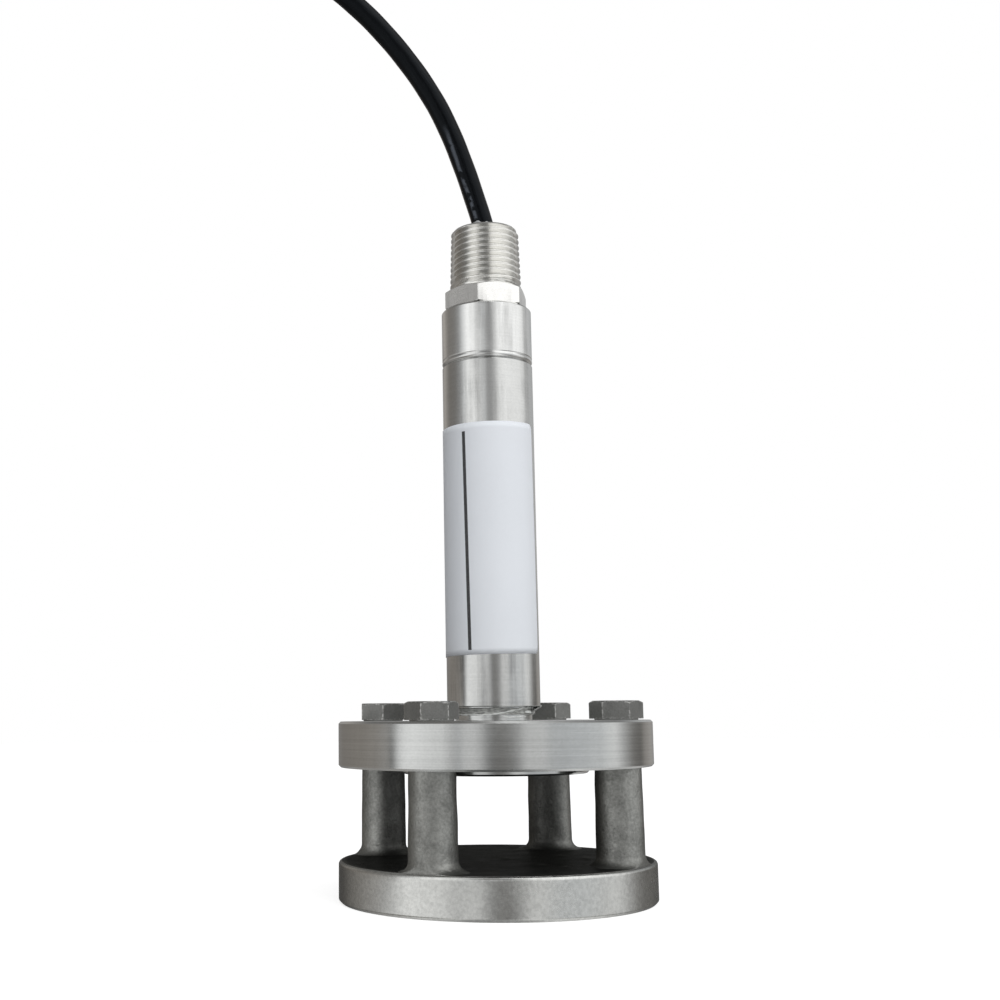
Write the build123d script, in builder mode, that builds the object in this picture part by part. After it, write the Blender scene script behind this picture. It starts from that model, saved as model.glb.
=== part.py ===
from build123d import *
import math
import os

# Submersible level transmitter on a vented cable, millimetres, +Z up.
# The origin is the centre of the cage's foot plate, on the surface it stands on.
# The front, where the label reads, looks along -Y.

# Cage: one casting, a heavy foot plate with four posts
foot_diameter = 88.9
foot_thickness = 11.1
foot_top_round = 1.4
foot_bottom_chamfer = 0.8
post_edge_distance = 7.5
post_count = 4
post_turn = -26.1
post_top_diameter = 12.6
post_bottom_diameter = 13.1
post_height = 25.7
post_foot_round = 2.8
flare_rim = 0.9

# Foundry marks on the foot plate, low round pads with no lettering
pad_places = ((2.5, -0.5), (6.3, 24.9), (12.2, -15.3), (18.4, 8.7), (18.1, -21.0), (24.5, 0.5))
pad_diameter = 2.2
pad_height = 0.5

# Flange that closes the top of the cage and carries the diaphragm
flange_diameter = foot_diameter
flange_thickness = 12.7
flange_edge_chamfer = 0.6
raised_face_diameter = 53.0
raised_face_height = 1.9
raised_face_chamfer = 0.5
port_top_radius = 8.0
port_taper = 1 / 32
port_depth = 10.8
passage_radius = 1.5

# Diaphragm, welded into a recess of the raised face
diaphragm_diameter = 47.0
diaphragm_sheet = 0.25
diaphragm_recess = 0.55
weld_rim_width = 2.2
wave_count = 6
wave_height = 0.24
hub_radius = 3.2
oil_gap = 0.45

# Bolts, 5/16 inch hexagon head
bolt_shank_diameter = 7.9
bolt_hole_diameter = 8.7
bolt_grip_in_post = 17.0
tap_run_out = 1.5
bolt_head_across_flats = 12.7
bolt_head_height = 5.2
bolt_head_chamfer = 30.0
bolt_head_turns = (55.0, 48.0, 35.0, 10.0)

# Nose of the sensor body, its neck screws into the flange up to a seat
neck_radius = 7.9
seat_radius = 10.9
seat_height = 1.5
collar_radius = 11.2
collar_height = 2.3
nose_spigot_height = 9.0
capsule_pocket_depth = 7.6

# Thread-seal tape round the collar
tape_thickness = 0.45
tape_bulge = 0.25
tape_margin = 0.12

# Pressure capsule and its seals
capsule_diameter = 19.0
capsule_height = 5.2
ring_groove_width = 1.8
ring_groove_depth = 1.1
ring_groove_lift = 1.8
capsule_ring_section = 1.14
retaining_ring_height = 2.0
retaining_ring_bore = 13.4
pin_count = 5
pin_diameter = 0.6
pin_circle_diameter = 8.0
pin_height = 3.6

# Housing tube, cap and label
tube_diameter = 26.6
tube_wall = 1.6
tube_length = 100.0
tube_edge_chamfer = 0.2
label_height = 65.8
label_lift = 14.3
label_sheet = 0.12
label_adhesive = 0.05
label_arc = 240.0
label_right_edge = -21.0
cap_height = 16.9
cap_top_chamfer = 0.7
cap_lip_height = 1.6
cap_lip_drop = 0.3
cap_spigot_length = 6.8
cap_bore_radius = 7.0
cap_socket_depth = 9.2
cap_ring_lift = 2.0
cap_ring_groove_width = 2.2
cap_ring_groove_depth = 1.25
cap_ring_section = 1.26

# Boards between two slotted clips
clip_height = 4.6
clip_slot_depth = 2.6
clip_bore_radius = 4.4
board_width = 19.0
board_sheet = 1.2
board_headroom = 43.0
chip_size = (7.0, 1.6, 7.0)
chip_lift = 25.0
terminal_size = (12.0, 6.5, 7.0)
terminal_drop = 14.0
trimmer_size = (5.0, 4.5, 6.5)
trimmer_spacing = 8.6
trimmer_lift = 15.5
capacitor_diameter = 6.0
capacitor_length = 8.6
capacitor_lift = 8.6
standoff_count = 3
standoff_diameter = 3.6
standoff_circle = 17.0
standoff_height = 5.0
surge_board_sheet = 1.4
arrester_diameter = 6.0
arrester_height = 8.0
arrester_offset = 6.2

# Hexagon and 1/2 inch taper pipe thread of the conduit fitting
hex_across_flats = 22.2
hex_height = 6.1
hex_turn = 20.0
hex_corner_chamfer = 30.0
stub_radius = 9.0
stub_length = 8.7
thread_diameter = 21.34
thread_length = 18.9
thread_end_chamfer = 0.9
thread_relief_height = 0.7
thread_relief_depth = 0.75
mouth_radius = 7.6
mouth_depth = 16.7
throat_radius = 3.5

# Packing in the mouth of the fitting, from the bottom up
gland_washer_sheet = 1.2
grommet_height = 7.5
clamp_washer_sheet = 1.2
potting_recess = 0.2
ferrule_height = 4.9
ferrule_wall = 1.1
ferrule_drop = 2.0

# Vented cable: jacket, two leads, drain wire and vent tube
cable_diameter = 6.4
cable_length = 12190.0
lead_diameter = 1.2
lead_spacing = 3.0
vent_diameter = 1.8
vent_offset = -2.05
vent_tube_length = 62.0

# Route of the cable, from the fitting over and down to its coil
cable_lean = 17.5
route = (
    (-5.8, -4.0, 219.3),
    (-17.2, -9.0, 243.9),
    (-36.8, -14.5, 266.4),
    (-63.2, -19.5, 283.2),
    (-93.9, -24.0, 292.2),
    (-124.9, -28.0, 293.8),
    (-155.2, -31.0, 287.4),
    (-183.2, -34.0, 273.5),
    (-206.8, -36.8, 253.2),
    (-224.4, -39.3, 227.4),
    (-235.6, -41.5, 198.5),
    (-242.8, -43.5, 168.0),
    (-246.5, -44.8, 138.0),
    (-248.0, -45.3, 112.0),
    (-242.1, -45.3, 97.1),
    (-230.9, -45.3, 86.1),
    (-216.2, -45.3, 80.0),
)
runs_share = 0.45

# Coil of the length that isn't in use
coil_place = (-201.0, 0.0)
coil_columns = 4
coil_rows = 13
coil_last_turn = 285.0
tail_length = 28.0
tie_angles = (90.0, 210.0, 330.0)
tie_width = 6.0
tie_sheet = 0.8
tie_corner = 1.0
tie_fit = 0.2

# Stripped end of the cable, lying on the surface
stripped_length = 30.0
end_lead_diameter = 1.6
drain_diameter = 0.9
end_vent_diameter = 2.0
end_lead_offset = 1.5
end_lead_lift = 3.2
drain_lift = 1.3
end_vent_lift = 4.9
end_wire_fit = 0.25

# Clearances
running_fit = 0.1
screwed_fit = 0.05

# Heights worked out from the sizes above
post_top = foot_thickness + post_height
flange_top = post_top + flange_thickness
raised_face = post_top - raised_face_height
port_floor = flange_top - port_depth
seat_top = flange_top + seat_height
tube_bottom = seat_top + collar_height
nose_top = tube_bottom + nose_spigot_height
pocket_floor = nose_top - capsule_pocket_depth
tube_top = tube_bottom + tube_length
cap_top = tube_top + cap_height
cap_spigot_bottom = tube_top - cap_spigot_length
cap_socket_floor = cap_top - cap_socket_depth
hex_top = cap_top + hex_height
thread_top = hex_top + thread_length
stub_bottom = cap_top - stub_length
mouth_floor = thread_top - mouth_depth
clip_slot_floor = nose_top + clip_height - clip_slot_depth
board_bottom = clip_slot_floor
board_height = tube_length - board_headroom
board_top = board_bottom + board_height
upper_clip_bottom = board_top - clip_slot_depth
upper_clip_top = upper_clip_bottom + clip_height
surge_board_bottom = upper_clip_top + standoff_height
surge_board_top = surge_board_bottom + surge_board_sheet
grommet_bottom = mouth_floor + gland_washer_sheet
clamp_bottom = grommet_bottom + grommet_height
potting_bottom = clamp_bottom + clamp_washer_sheet
potting_top = thread_top - potting_recess
ferrule_bottom = stub_bottom - ferrule_height
entry_bottom = ferrule_bottom - ferrule_drop

# Radii worked out from the sizes above
foot_radius = foot_diameter / 2
post_circle_radius = foot_radius - post_edge_distance
flange_radius = flange_diameter / 2
tube_radius = tube_diameter / 2
tube_bore = tube_radius - tube_wall
spigot_radius = tube_bore - screwed_fit
capsule_radius = capsule_diameter / 2
pocket_radius = capsule_radius + running_fit
diaphragm_radius = diaphragm_diameter / 2
cable_radius = cable_diameter / 2
cable_bore = cable_radius + screwed_fit
thread_radius = thread_diameter / 2
thread_end_radius = thread_radius - thread_length * port_taper
packing_radius = mouth_radius - screwed_fit
clip_radius = tube_bore - running_fit


def half_section(*corners):
    """Flat face from the corners of a half section, each a radius and a height."""
    with BuildSketch(Plane.XZ) as section:
        with BuildLine():
            Polyline(*corners, close=True)
        make_face()
    return section.sketch


def ring_section(inner, outer, bottom, top):
    """Half section of a plain ring."""
    return half_section((inner, bottom), (outer, bottom), (outer, top), (inner, top))


def save(part, name):
    """Label a finished piece and write it to its own file."""
    part.label = name
    export_step(part, f"parts/{name}.step")


def along(points, radii):
    """Path of straight runs and tangent arcs through the corners of a route."""
    with BuildLine() as path:
        FilletPolyline(*points, radius=radii)
    return path.line


def rod(path, radius):
    """Round rod swept along a path."""
    with BuildPart() as swept:
        with BuildSketch(Plane(origin=path @ 0, z_dir=path % 0)):
            Circle(radius)
        sweep(path=path)
    return swept.part


os.makedirs("parts", exist_ok=True)

# Protection cage: each post is turned with its foot flare, and the flares end at the
# turned rim of the plate. The bolts screw into the tops of the posts.
with BuildPart() as foot_plate:
    with BuildSketch():
        Circle(foot_radius)
    extrude(amount=foot_thickness)
    fillet(foot_plate.edges().sort_by(Axis.Z)[-1], radius=foot_top_round)
    chamfer(foot_plate.edges().sort_by(Axis.Z)[0], length=foot_bottom_chamfer)
    with BuildSketch(Plane.XY.offset(foot_thickness)):
        with Locations(*pad_places):
            Circle(pad_diameter / 2)
    extrude(amount=pad_height)

post_foot = post_bottom_diameter / 2
post_head = post_top_diameter / 2
flare_top = foot_thickness + post_foot_round
flare_middle = post_foot + post_foot_round * (1 - math.sqrt(0.5))
with BuildPart() as post:
    with BuildSketch(Plane.XZ):
        with BuildLine():
            Polyline((post_foot + post_foot_round, foot_thickness), (0, foot_thickness),
                     (0, post_top), (post_head, post_top), (post_foot, flare_top))
            ThreePointArc((post_foot, flare_top),
                          (flare_middle, foot_thickness + post_foot_round * (1 - math.sqrt(0.5))),
                          (post_foot + post_foot_round, foot_thickness))
        make_face()
    revolve(axis=Axis.Z)

with BuildPart() as posts:
    with PolarLocations(post_circle_radius, post_count, start_angle=post_turn):
        add(post.part)
    with BuildSketch(Plane.XY.offset(foot_thickness)):
        Circle(foot_radius - flare_rim)
    extrude(amount=post_height, mode=Mode.INTERSECT)

with BuildPart() as protection_cage:
    add(foot_plate.part)
    add(posts.part)
    with Locations((0, 0, post_top)):
        with PolarLocations(post_circle_radius, post_count, start_angle=post_turn):
            Hole(bolt_shank_diameter / 2 + screwed_fit, depth=bolt_grip_in_post + tap_run_out)
save(protection_cage.part, "protection_cage")

# Upper flange: taper port from above, oil passage through, and below it the raised
# face with the recess that takes the diaphragm and the oil gap behind it.
recess_top = raised_face + diaphragm_recess
oil_top = recess_top + oil_gap
oil_radius = diaphragm_radius - weld_rim_width
port_floor_radius = port_top_radius - port_depth * port_taper
recess_radius = diaphragm_radius + screwed_fit
raised_radius = raised_face_diameter / 2
with BuildPart() as upper_flange:
    revolve(half_section(
        (passage_radius, oil_top),
        (oil_radius, oil_top),
        (oil_radius, recess_top),
        (recess_radius, recess_top),
        (recess_radius, raised_face),
        (raised_radius - raised_face_chamfer, raised_face),
        (raised_radius, raised_face + raised_face_chamfer),
        (raised_radius, post_top),
        (flange_radius - flange_edge_chamfer, post_top),
        (flange_radius, post_top + flange_edge_chamfer),
        (flange_radius, flange_top - flange_edge_chamfer),
        (flange_radius - flange_edge_chamfer, flange_top),
        (port_top_radius, flange_top),
        (port_floor_radius, port_floor),
        (passage_radius, port_floor),
    ), Axis.Z)
    with Locations((0, 0, flange_top)):
        with PolarLocations(post_circle_radius, post_count, start_angle=post_turn):
            Hole(bolt_hole_diameter / 2, depth=flange_thickness)
save(upper_flange.part, "upper_flange")

# Flange bolts: the head's chamfer is the cone that a lathe leaves on a hexagon
bolt_reach = flange_thickness + bolt_grip_in_post


def hex_bolt(angle, head_turn):
    """One bolt, head down on the flange, its shank through into the post."""
    x = post_circle_radius * math.cos(math.radians(angle))
    y = post_circle_radius * math.sin(math.radians(angle))
    flat = bolt_head_across_flats / 2
    corner = flat / math.cos(math.pi / 6)
    slope = math.tan(math.radians(bolt_head_chamfer))
    head_top = flange_top + bolt_head_height
    with BuildPart() as envelope:
        revolve(half_section(
            (0, flange_top - bolt_reach),
            (bolt_shank_diameter / 2 - 1, flange_top - bolt_reach),
            (bolt_shank_diameter / 2, flange_top - bolt_reach + 1),
            (bolt_shank_diameter / 2, flange_top),
            (corner, flange_top),
            (corner, head_top - (corner - flat * 0.95) * slope),
            (flat * 0.95, head_top),
            (0, head_top),
        ), Axis.Z)
        with BuildSketch(Plane.XY.offset(flange_top - bolt_reach)):
            RegularPolygon(flat, 6, major_radius=False, rotation=head_turn)
        extrude(amount=bolt_reach + bolt_head_height, mode=Mode.INTERSECT)
    return envelope.part.moved(Location((x, y, 0)))


bolt_angles = [post_turn + 360 / post_count * place for place in range(post_count)]
bolts = [hex_bolt(angle, bolt_head_turns[place % len(bolt_head_turns)])
         for place, angle in enumerate(bolt_angles)]
save(Compound(children=bolts), "flange_bolts")

# Sensing diaphragm: a rim and concentric waves, pressed from one thin sheet
sheet_top = recess_top
wave_middle = sheet_top - diaphragm_sheet
wave_span = (oil_radius - hub_radius) / wave_count


def wave_line(height):
    """Half section line of the sheet, flat hub, waves and flat rim."""
    Line((0, height), (hub_radius, height))
    for wave in range(wave_count):
        start = hub_radius + wave * wave_span
        side = 1 if wave % 2 else -1
        ThreePointArc((start, height), (start + wave_span / 2, height + side * wave_height),
                      (start + wave_span, height))
    Line((oil_radius, height), (diaphragm_radius, height))


with BuildPart() as sensing_diaphragm:
    with BuildSketch(Plane.XZ):
        with BuildLine():
            wave_line(wave_middle)
            Line((diaphragm_radius, wave_middle), (diaphragm_radius, sheet_top))
            wave_line(sheet_top)
            Line((0, sheet_top), (0, wave_middle))
        make_face()
    revolve(axis=Axis.Z)
save(sensing_diaphragm.part, "sensing_diaphragm")

# Sensor nose: taper neck in the flange's port, seat, collar, and the spigot in the tube
neck_bottom = port_floor + running_fit
with BuildPart() as sensor_nose:
    revolve(half_section(
        (passage_radius, neck_bottom),
        (port_floor_radius - screwed_fit, neck_bottom),
        (min(neck_radius, port_top_radius - screwed_fit), flange_top),
        (min(neck_radius, port_top_radius - screwed_fit), flange_top + running_fit),
        (seat_radius, flange_top + running_fit),
        (seat_radius, seat_top),
        (collar_radius, seat_top),
        (collar_radius, tube_bottom),
        (spigot_radius, tube_bottom),
        (spigot_radius, nose_top),
        (pocket_radius, nose_top),
        (pocket_radius, pocket_floor),
        (passage_radius, pocket_floor),
    ), Axis.Z)
save(sensor_nose.part, "sensor_nose")

# Seal tape: a few turns of thin tape, bulging a little between their edges
tape_inner = collar_radius + screwed_fit
tape_outer = tape_inner + tape_thickness
with BuildPart() as seal_tape:
    revolve(half_section(
        (tape_inner, seat_top + tape_margin),
        (tape_outer, seat_top + tape_margin),
        (tape_outer + tape_bulge, (seat_top + tube_bottom) / 2),
        (tape_outer, tube_bottom - tape_margin),
        (tape_inner, tube_bottom - tape_margin),
    ), Axis.Z)
save(seal_tape.part, "seal_tape")

# Sensor capsule: steel can with a ring groove, its pins in glass beads on top
capsule_top = pocket_floor + capsule_height
groove_bottom = pocket_floor + ring_groove_lift
groove_top = groove_bottom + ring_groove_width
groove_radius = capsule_radius - ring_groove_depth
with BuildPart() as sensor_capsule:
    revolve(half_section(
        (0, pocket_floor),
        (capsule_radius, pocket_floor),
        (capsule_radius, groove_bottom),
        (groove_radius, groove_bottom),
        (groove_radius, groove_top),
        (capsule_radius, groove_top),
        (capsule_radius, capsule_top),
        (0, capsule_top),
    ), Axis.Z)
    with BuildSketch(Plane.XY.offset(capsule_top)):
        with PolarLocations(pin_circle_diameter / 2, pin_count):
            Circle(pin_diameter / 2)
    extrude(amount=pin_height)
save(sensor_capsule.part, "sensor_capsule")

# Capsule O-ring, in its groove against the wall of the pocket
with BuildPart() as capsule_o_ring:
    with Locations((0, 0, (groove_bottom + groove_top) / 2)):
        Torus((groove_radius + pocket_radius) / 2, capsule_ring_section / 2)
save(capsule_o_ring.part, "capsule_o_ring")

# Retaining ring, screwed down on the capsule
with BuildPart() as capsule_retaining_ring:
    revolve(ring_section(retaining_ring_bore / 2, capsule_radius,
                         capsule_top, capsule_top + retaining_ring_height), Axis.Z)
save(capsule_retaining_ring.part, "capsule_retaining_ring")

# Housing tube
with BuildPart() as housing_tube:
    revolve(ring_section(tube_bore, tube_radius, tube_bottom, tube_top), Axis.Z)
    outer_rims = housing_tube.edges().filter_by(GeomType.CIRCLE).sort_by(SortBy.RADIUS)[-2:]
    chamfer(outer_rims, length=tube_edge_chamfer)
save(housing_tube.part, "housing_tube")

# Identification label: a sheet of paper wrapped part of the way round the tube
label_bottom = tube_bottom + label_lift
with BuildPart() as id_label:
    revolve(ring_section(tube_radius + label_adhesive, tube_radius + label_adhesive + label_sheet,
                         label_bottom, label_bottom + label_height),
            Axis.Z, revolution_arc=label_arc)
label_placed = id_label.part.rotate(Axis.Z, label_right_edge - label_arc)
save(label_placed, "id_label")

# Board clips: slotted discs that hold the signal board upright in the tube
slot_width = board_width + 2 * running_fit
slot_sheet = board_sheet + 2 * running_fit


def board_clip(bottom, slot_bottom, name):
    """Slotted disc with a bore for the wires, its slot from one of its faces."""
    with BuildPart() as clip:
        revolve(ring_section(clip_bore_radius, clip_radius, bottom, bottom + clip_height), Axis.Z)
        with BuildSketch(Plane.XY.offset(slot_bottom)):
            Rectangle(slot_width, slot_sheet)
        extrude(amount=clip_slot_depth, mode=Mode.SUBTRACT)
    save(clip.part, name)


board_clip(nose_top, clip_slot_floor, "lower_board_clip")
board_clip(upper_clip_bottom, upper_clip_bottom, "upper_board_clip")

# Signal board and the components soldered on its rear face
board_face = board_sheet / 2
with BuildPart() as signal_board:
    with BuildSketch(Plane.XY.offset(board_bottom)):
        Rectangle(board_width, board_sheet)
    extrude(amount=board_height)
save(signal_board.part, "signal_board")


def component(size, lift, sides=(0.0,)):
    """Box component on the face of the signal board, one for each place across it."""
    width, depth, height = size
    with BuildPart() as block:
        with BuildSketch(Plane.XY.offset(board_bottom + lift)):
            with Locations(*[(side, board_face + depth / 2) for side in sides]):
                Rectangle(width, depth)
        extrude(amount=height)
        chamfer(block.edges().filter_by(Axis.Z).group_by(Axis.Y)[-1], length=0.4)
    return block.part


save(component(chip_size, chip_lift), "amplifier_chip")
save(component(terminal_size, board_height - terminal_drop), "terminal_block")
save(component(trimmer_size, trimmer_lift, (-trimmer_spacing / 2, trimmer_spacing / 2)),
     "span_trimmers")

with BuildPart() as smoothing_capacitor:
    with BuildSketch(Plane.XZ.offset(-board_face)):
        with Locations((0, board_bottom + capacitor_lift)):
            Circle(capacitor_diameter / 2)
    extrude(amount=-capacitor_length)
    fillet(smoothing_capacitor.edges().sort_by(Axis.Y)[-1], radius=0.5)
save(smoothing_capacitor.part, "smoothing_capacitor")

# Surge board on standoffs above the upper clip
with BuildPart() as board_standoffs:
    with BuildSketch(Plane.XY.offset(upper_clip_top)):
        with PolarLocations(standoff_circle / 2, standoff_count, start_angle=30):
            Circle(standoff_diameter / 2)
    extrude(amount=standoff_height)
save(board_standoffs.part, "board_standoffs")

with BuildPart() as surge_board:
    with BuildSketch(Plane.XY.offset(surge_board_bottom)):
        Circle(clip_radius)
        with Locations((0, vent_offset)):
            Circle(vent_diameter / 2 + running_fit, mode=Mode.SUBTRACT)
    extrude(amount=surge_board_sheet)
save(surge_board.part, "surge_board")

with BuildPart() as surge_arrester:
    with BuildSketch(Plane.XY.offset(surge_board_top)):
        with Locations((0, arrester_offset)):
            Circle(arrester_diameter / 2)
    extrude(amount=arrester_height)
    chamfer(surge_arrester.edges().group_by(Axis.Z)[-1], length=0.5)
save(surge_arrester.part, "surge_arrester")

# Leads from the end of the cable to the surge board, and the open vent tube
for side, name in ((-1, "inner_lead_red"), (1, "inner_lead_black")):
    with BuildPart() as inner_lead:
        with BuildSketch(Plane.XY.offset(surge_board_top)):
            with Locations((side * lead_spacing / 2, 0)):
                Circle(lead_diameter / 2)
        extrude(amount=entry_bottom - surge_board_top)
    save(inner_lead.part, name)

with BuildPart() as inner_vent_tube:
    with BuildSketch(Plane.XY.offset(entry_bottom - vent_tube_length)):
        with Locations((0, vent_offset)):
            Circle(vent_diameter / 2)
            Circle(vent_diameter / 4, mode=Mode.SUBTRACT)
    extrude(amount=vent_tube_length)
save(inner_vent_tube.part, "inner_vent_tube")

# Top cap: spigot with a ring groove in the tube, socket for the conduit fitting above
cap_groove_bottom = cap_spigot_bottom + cap_ring_lift
cap_groove_top = cap_groove_bottom + cap_ring_groove_width
cap_groove_radius = spigot_radius - cap_ring_groove_depth
socket_radius = stub_radius + screwed_fit
with BuildPart() as top_cap:
    revolve(half_section(
        (cap_bore_radius, cap_spigot_bottom),
        (spigot_radius, cap_spigot_bottom),
        (spigot_radius, cap_groove_bottom),
        (cap_groove_radius, cap_groove_bottom),
        (cap_groove_radius, cap_groove_top),
        (spigot_radius, cap_groove_top),
        (spigot_radius, tube_top),
        (tube_radius - cap_lip_drop, tube_top),
        (tube_radius, tube_top + cap_lip_height),
        (tube_radius, cap_top - cap_top_chamfer),
        (tube_radius - cap_top_chamfer, cap_top),
        (socket_radius, cap_top),
        (socket_radius, cap_socket_floor),
        (cap_bore_radius, cap_socket_floor),
    ), Axis.Z)
save(top_cap.part, "top_cap")

with BuildPart() as cap_o_ring:
    with Locations((0, 0, (cap_groove_bottom + cap_groove_top) / 2)):
        Torus((cap_groove_radius + tube_bore) / 2, cap_ring_section / 2)
save(cap_o_ring.part, "cap_o_ring")

# Conduit fitting: stub in the cap, hexagon, and the blank of the taper thread
hex_flat = hex_across_flats / 2
hex_corner = hex_flat / math.cos(math.pi / 6)
hex_slope = math.tan(math.radians(hex_corner_chamfer))
with BuildPart() as conduit_fitting:
    with BuildSketch(Plane.XY.offset(cap_top)):
        RegularPolygon(hex_flat, 6, major_radius=False, rotation=hex_turn)
    extrude(amount=hex_height)
    revolve(half_section(
        (0, cap_top),
        (hex_flat, cap_top),
        (hex_corner, cap_top + (hex_corner - hex_flat) * hex_slope),
        (hex_corner, hex_top - (hex_corner - hex_flat) * hex_slope),
        (hex_flat, hex_top),
        (0, hex_top),
    ), Axis.Z, mode=Mode.INTERSECT)
    revolve(half_section(
        (0, stub_bottom),
        (stub_radius, stub_bottom),
        (stub_radius, hex_top),
        (thread_radius - thread_relief_depth, hex_top),
        (thread_radius - thread_relief_depth, hex_top + thread_relief_height),
        (thread_radius, hex_top + thread_relief_height + thread_relief_depth),
        (thread_end_radius, thread_top - thread_end_chamfer),
        (thread_end_radius - thread_end_chamfer, thread_top),
        (0, thread_top),
    ), Axis.Z)
    revolve(half_section(
        (0, stub_bottom),
        (throat_radius, stub_bottom),
        (throat_radius, mouth_floor),
        (mouth_radius, mouth_floor),
        (mouth_radius, thread_top),
        (0, thread_top),
    ), Axis.Z, mode=Mode.SUBTRACT)
save(conduit_fitting.part, "conduit_fitting")

# Packing in the mouth: washer, rubber grommet, washer and sealing compound
for name, bottom, top in (
    ("gland_washer", mouth_floor, grommet_bottom),
    ("cable_grommet", grommet_bottom, clamp_bottom),
    ("clamp_washer", clamp_bottom, potting_bottom),
    ("potting_plug", potting_bottom, potting_top),
):
    with BuildPart() as packing:
        revolve(ring_section(cable_bore, packing_radius, bottom, top), Axis.Z)
    save(packing.part, name)

# Crimp ferrule on the jacket, bearing on the fitting from below
with BuildPart() as crimp_ferrule:
    revolve(ring_section(cable_bore, cable_bore + ferrule_wall, ferrule_bottom, stub_bottom),
            Axis.Z)
save(crimp_ferrule.part, "crimp_ferrule")

# Straight stretch of the cable inside the fitting
with BuildPart() as cable_entry:
    with BuildSketch(Plane.XY.offset(entry_bottom)):
        Circle(cable_radius)
    extrude(amount=potting_top - entry_bottom)
save(cable_entry.part, "cable_entry")

# Free cable from the mouth to the coil. Its first face stands clear of the potting,
# because the cable leaves at a slant.
coil_x, coil_y = coil_place
exit_rise = cable_radius * math.sin(math.radians(cable_lean)) + screwed_fit
cable_exit = (0.0, 0.0, potting_top + exit_rise)
row_height = cable_diameter
coil_turns = coil_columns * coil_rows
top_row = (coil_rows - 0.5) * row_height
outer_offset = (coil_columns - 1) / 2 * cable_diameter
outer_column = -route[-1][1]
coil_mean_radius = outer_column - outer_offset
corners = [Vector(*point) for point in (cable_exit, *route)]
corners.append(Vector(coil_x, coil_y - outer_column, top_row))


def bend_radii(points):
    """Largest arc at each corner that its two runs leave room for."""
    radii = []
    for before, here, after in zip(points, points[1:], points[2:]):
        first = here - before
        second = after - here
        turn = math.radians(first.get_angle(second))
        radii.append(runs_share * min(first.length, second.length) / math.tan(turn / 2))
    return radii


cable_radii = bend_radii(corners)
cable_path = along(corners, cable_radii)
cable_run = rod(cable_path, cable_radius)
save(cable_run, "cable_run")

# Coil: full rows under a top row whose outer turn takes the cable, with a shallow
# notch under each tie
coil_outer = outer_column + cable_radius
coil_inner = coil_mean_radius - outer_offset - cable_radius
full_rows = (coil_rows - 1) * row_height
coil_height = coil_rows * row_height
coil_plane = Plane(origin=(coil_x, coil_y, 0))
with BuildPart() as full_turns:
    with BuildSketch(coil_plane):
        Circle(coil_outer)
        Circle(coil_inner, mode=Mode.SUBTRACT)
    extrude(amount=full_rows)
    with BuildSketch(coil_plane.offset(full_rows)):
        Circle(coil_outer - cable_diameter)
        Circle(coil_inner, mode=Mode.SUBTRACT)
    extrude(amount=row_height)
    for tie_angle in tie_angles:
        tie_plane = Plane(origin=(coil_x, coil_y, 0),
                          x_dir=Vector(1, 0, 0).rotate(Axis.Z, tie_angle), z_dir=(0, 0, 1))
        with BuildSketch(tie_plane):
            with Locations(((coil_inner + coil_outer) / 2, 0)):
                Rectangle(coil_outer - coil_inner + 2, tie_width + 2 * tie_fit)
        extrude(amount=tie_sheet + running_fit, mode=Mode.SUBTRACT)

with BuildPart() as last_turn:
    with BuildSketch(Plane.YZ.offset(coil_x)):
        with Locations((coil_y - outer_column, top_row)):
            Circle(cable_radius)
            Rectangle(cable_radius, cable_radius, align=(Align.MIN, Align.MAX))
    revolve(axis=Axis((coil_x, coil_y, 0), (0, 0, 1)), revolution_arc=coil_last_turn)

with BuildPart() as cable_coil:
    add(full_turns.part)
    add(last_turn.part)
    with BuildSketch(Plane.YZ.offset(coil_x)):
        with Locations((coil_y - outer_column, cable_radius)):
            Circle(cable_radius)
    extrude(amount=tail_length)
save(cable_coil.part, "cable_coil")

# Ties: flat straps round the section of the coil, through the notches under it
tie_middle = (coil_inner + coil_outer) / 2
tie_inside = coil_outer - coil_inner + 2 * tie_fit
tie_parts = []
for tie_angle in tie_angles:
    turned = Vector(1, 0, 0).rotate(Axis.Z, tie_angle)
    across = Plane(origin=(coil_x, coil_y, 0), x_dir=turned,
                   z_dir=turned.cross(Vector(0, 0, 1)))
    with BuildPart() as tie:
        with BuildSketch(across):
            with Locations((tie_middle, 0)):
                RectangleRounded(tie_inside + 2 * tie_sheet, coil_height + tie_fit + tie_sheet,
                                 tie_corner, align=(Align.CENTER, Align.MIN))
            with Locations((tie_middle, tie_sheet)):
                RectangleRounded(tie_inside, coil_height + tie_fit - tie_sheet,
                                 tie_corner - tie_sheet, align=(Align.CENTER, Align.MIN),
                                 mode=Mode.SUBTRACT)
        extrude(amount=tie_width / 2, both=True)
    tie_parts.append(tie.part)
save(Compound(children=tie_parts), "coil_ties")

# Stripped end: two leads, drain wire and vent tube fan out from the jacket's end
end_x = coil_x + tail_length + end_wire_fit
end_y = coil_y - outer_column


def end_wire(offset, height, diameter, spread, name):
    """Wire from the face of the jacket down to the surface it lies on."""
    rest = diameter / 2
    points = [
        Vector(end_x, end_y + offset, height),
        Vector(end_x + stripped_length * 0.3, end_y + offset + spread * 0.2, (height + rest) / 2),
        Vector(end_x + stripped_length * 0.62, end_y + offset + spread * 0.6, rest),
        Vector(end_x + stripped_length, end_y + offset + spread, rest),
    ]
    save(rod(along(points, bend_radii(points)), rest), name)


end_wire(-end_lead_offset, end_lead_lift, end_lead_diameter, -1.9, "lead_red")
end_wire(end_lead_offset, end_lead_lift, end_lead_diameter, 2.7, "lead_black")
end_wire(0.0, drain_lift, drain_diameter, -1.4, "drain_wire")
end_wire(0.0, end_vent_lift, end_vent_diameter, 0.9, "vent_tube_end")

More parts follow.
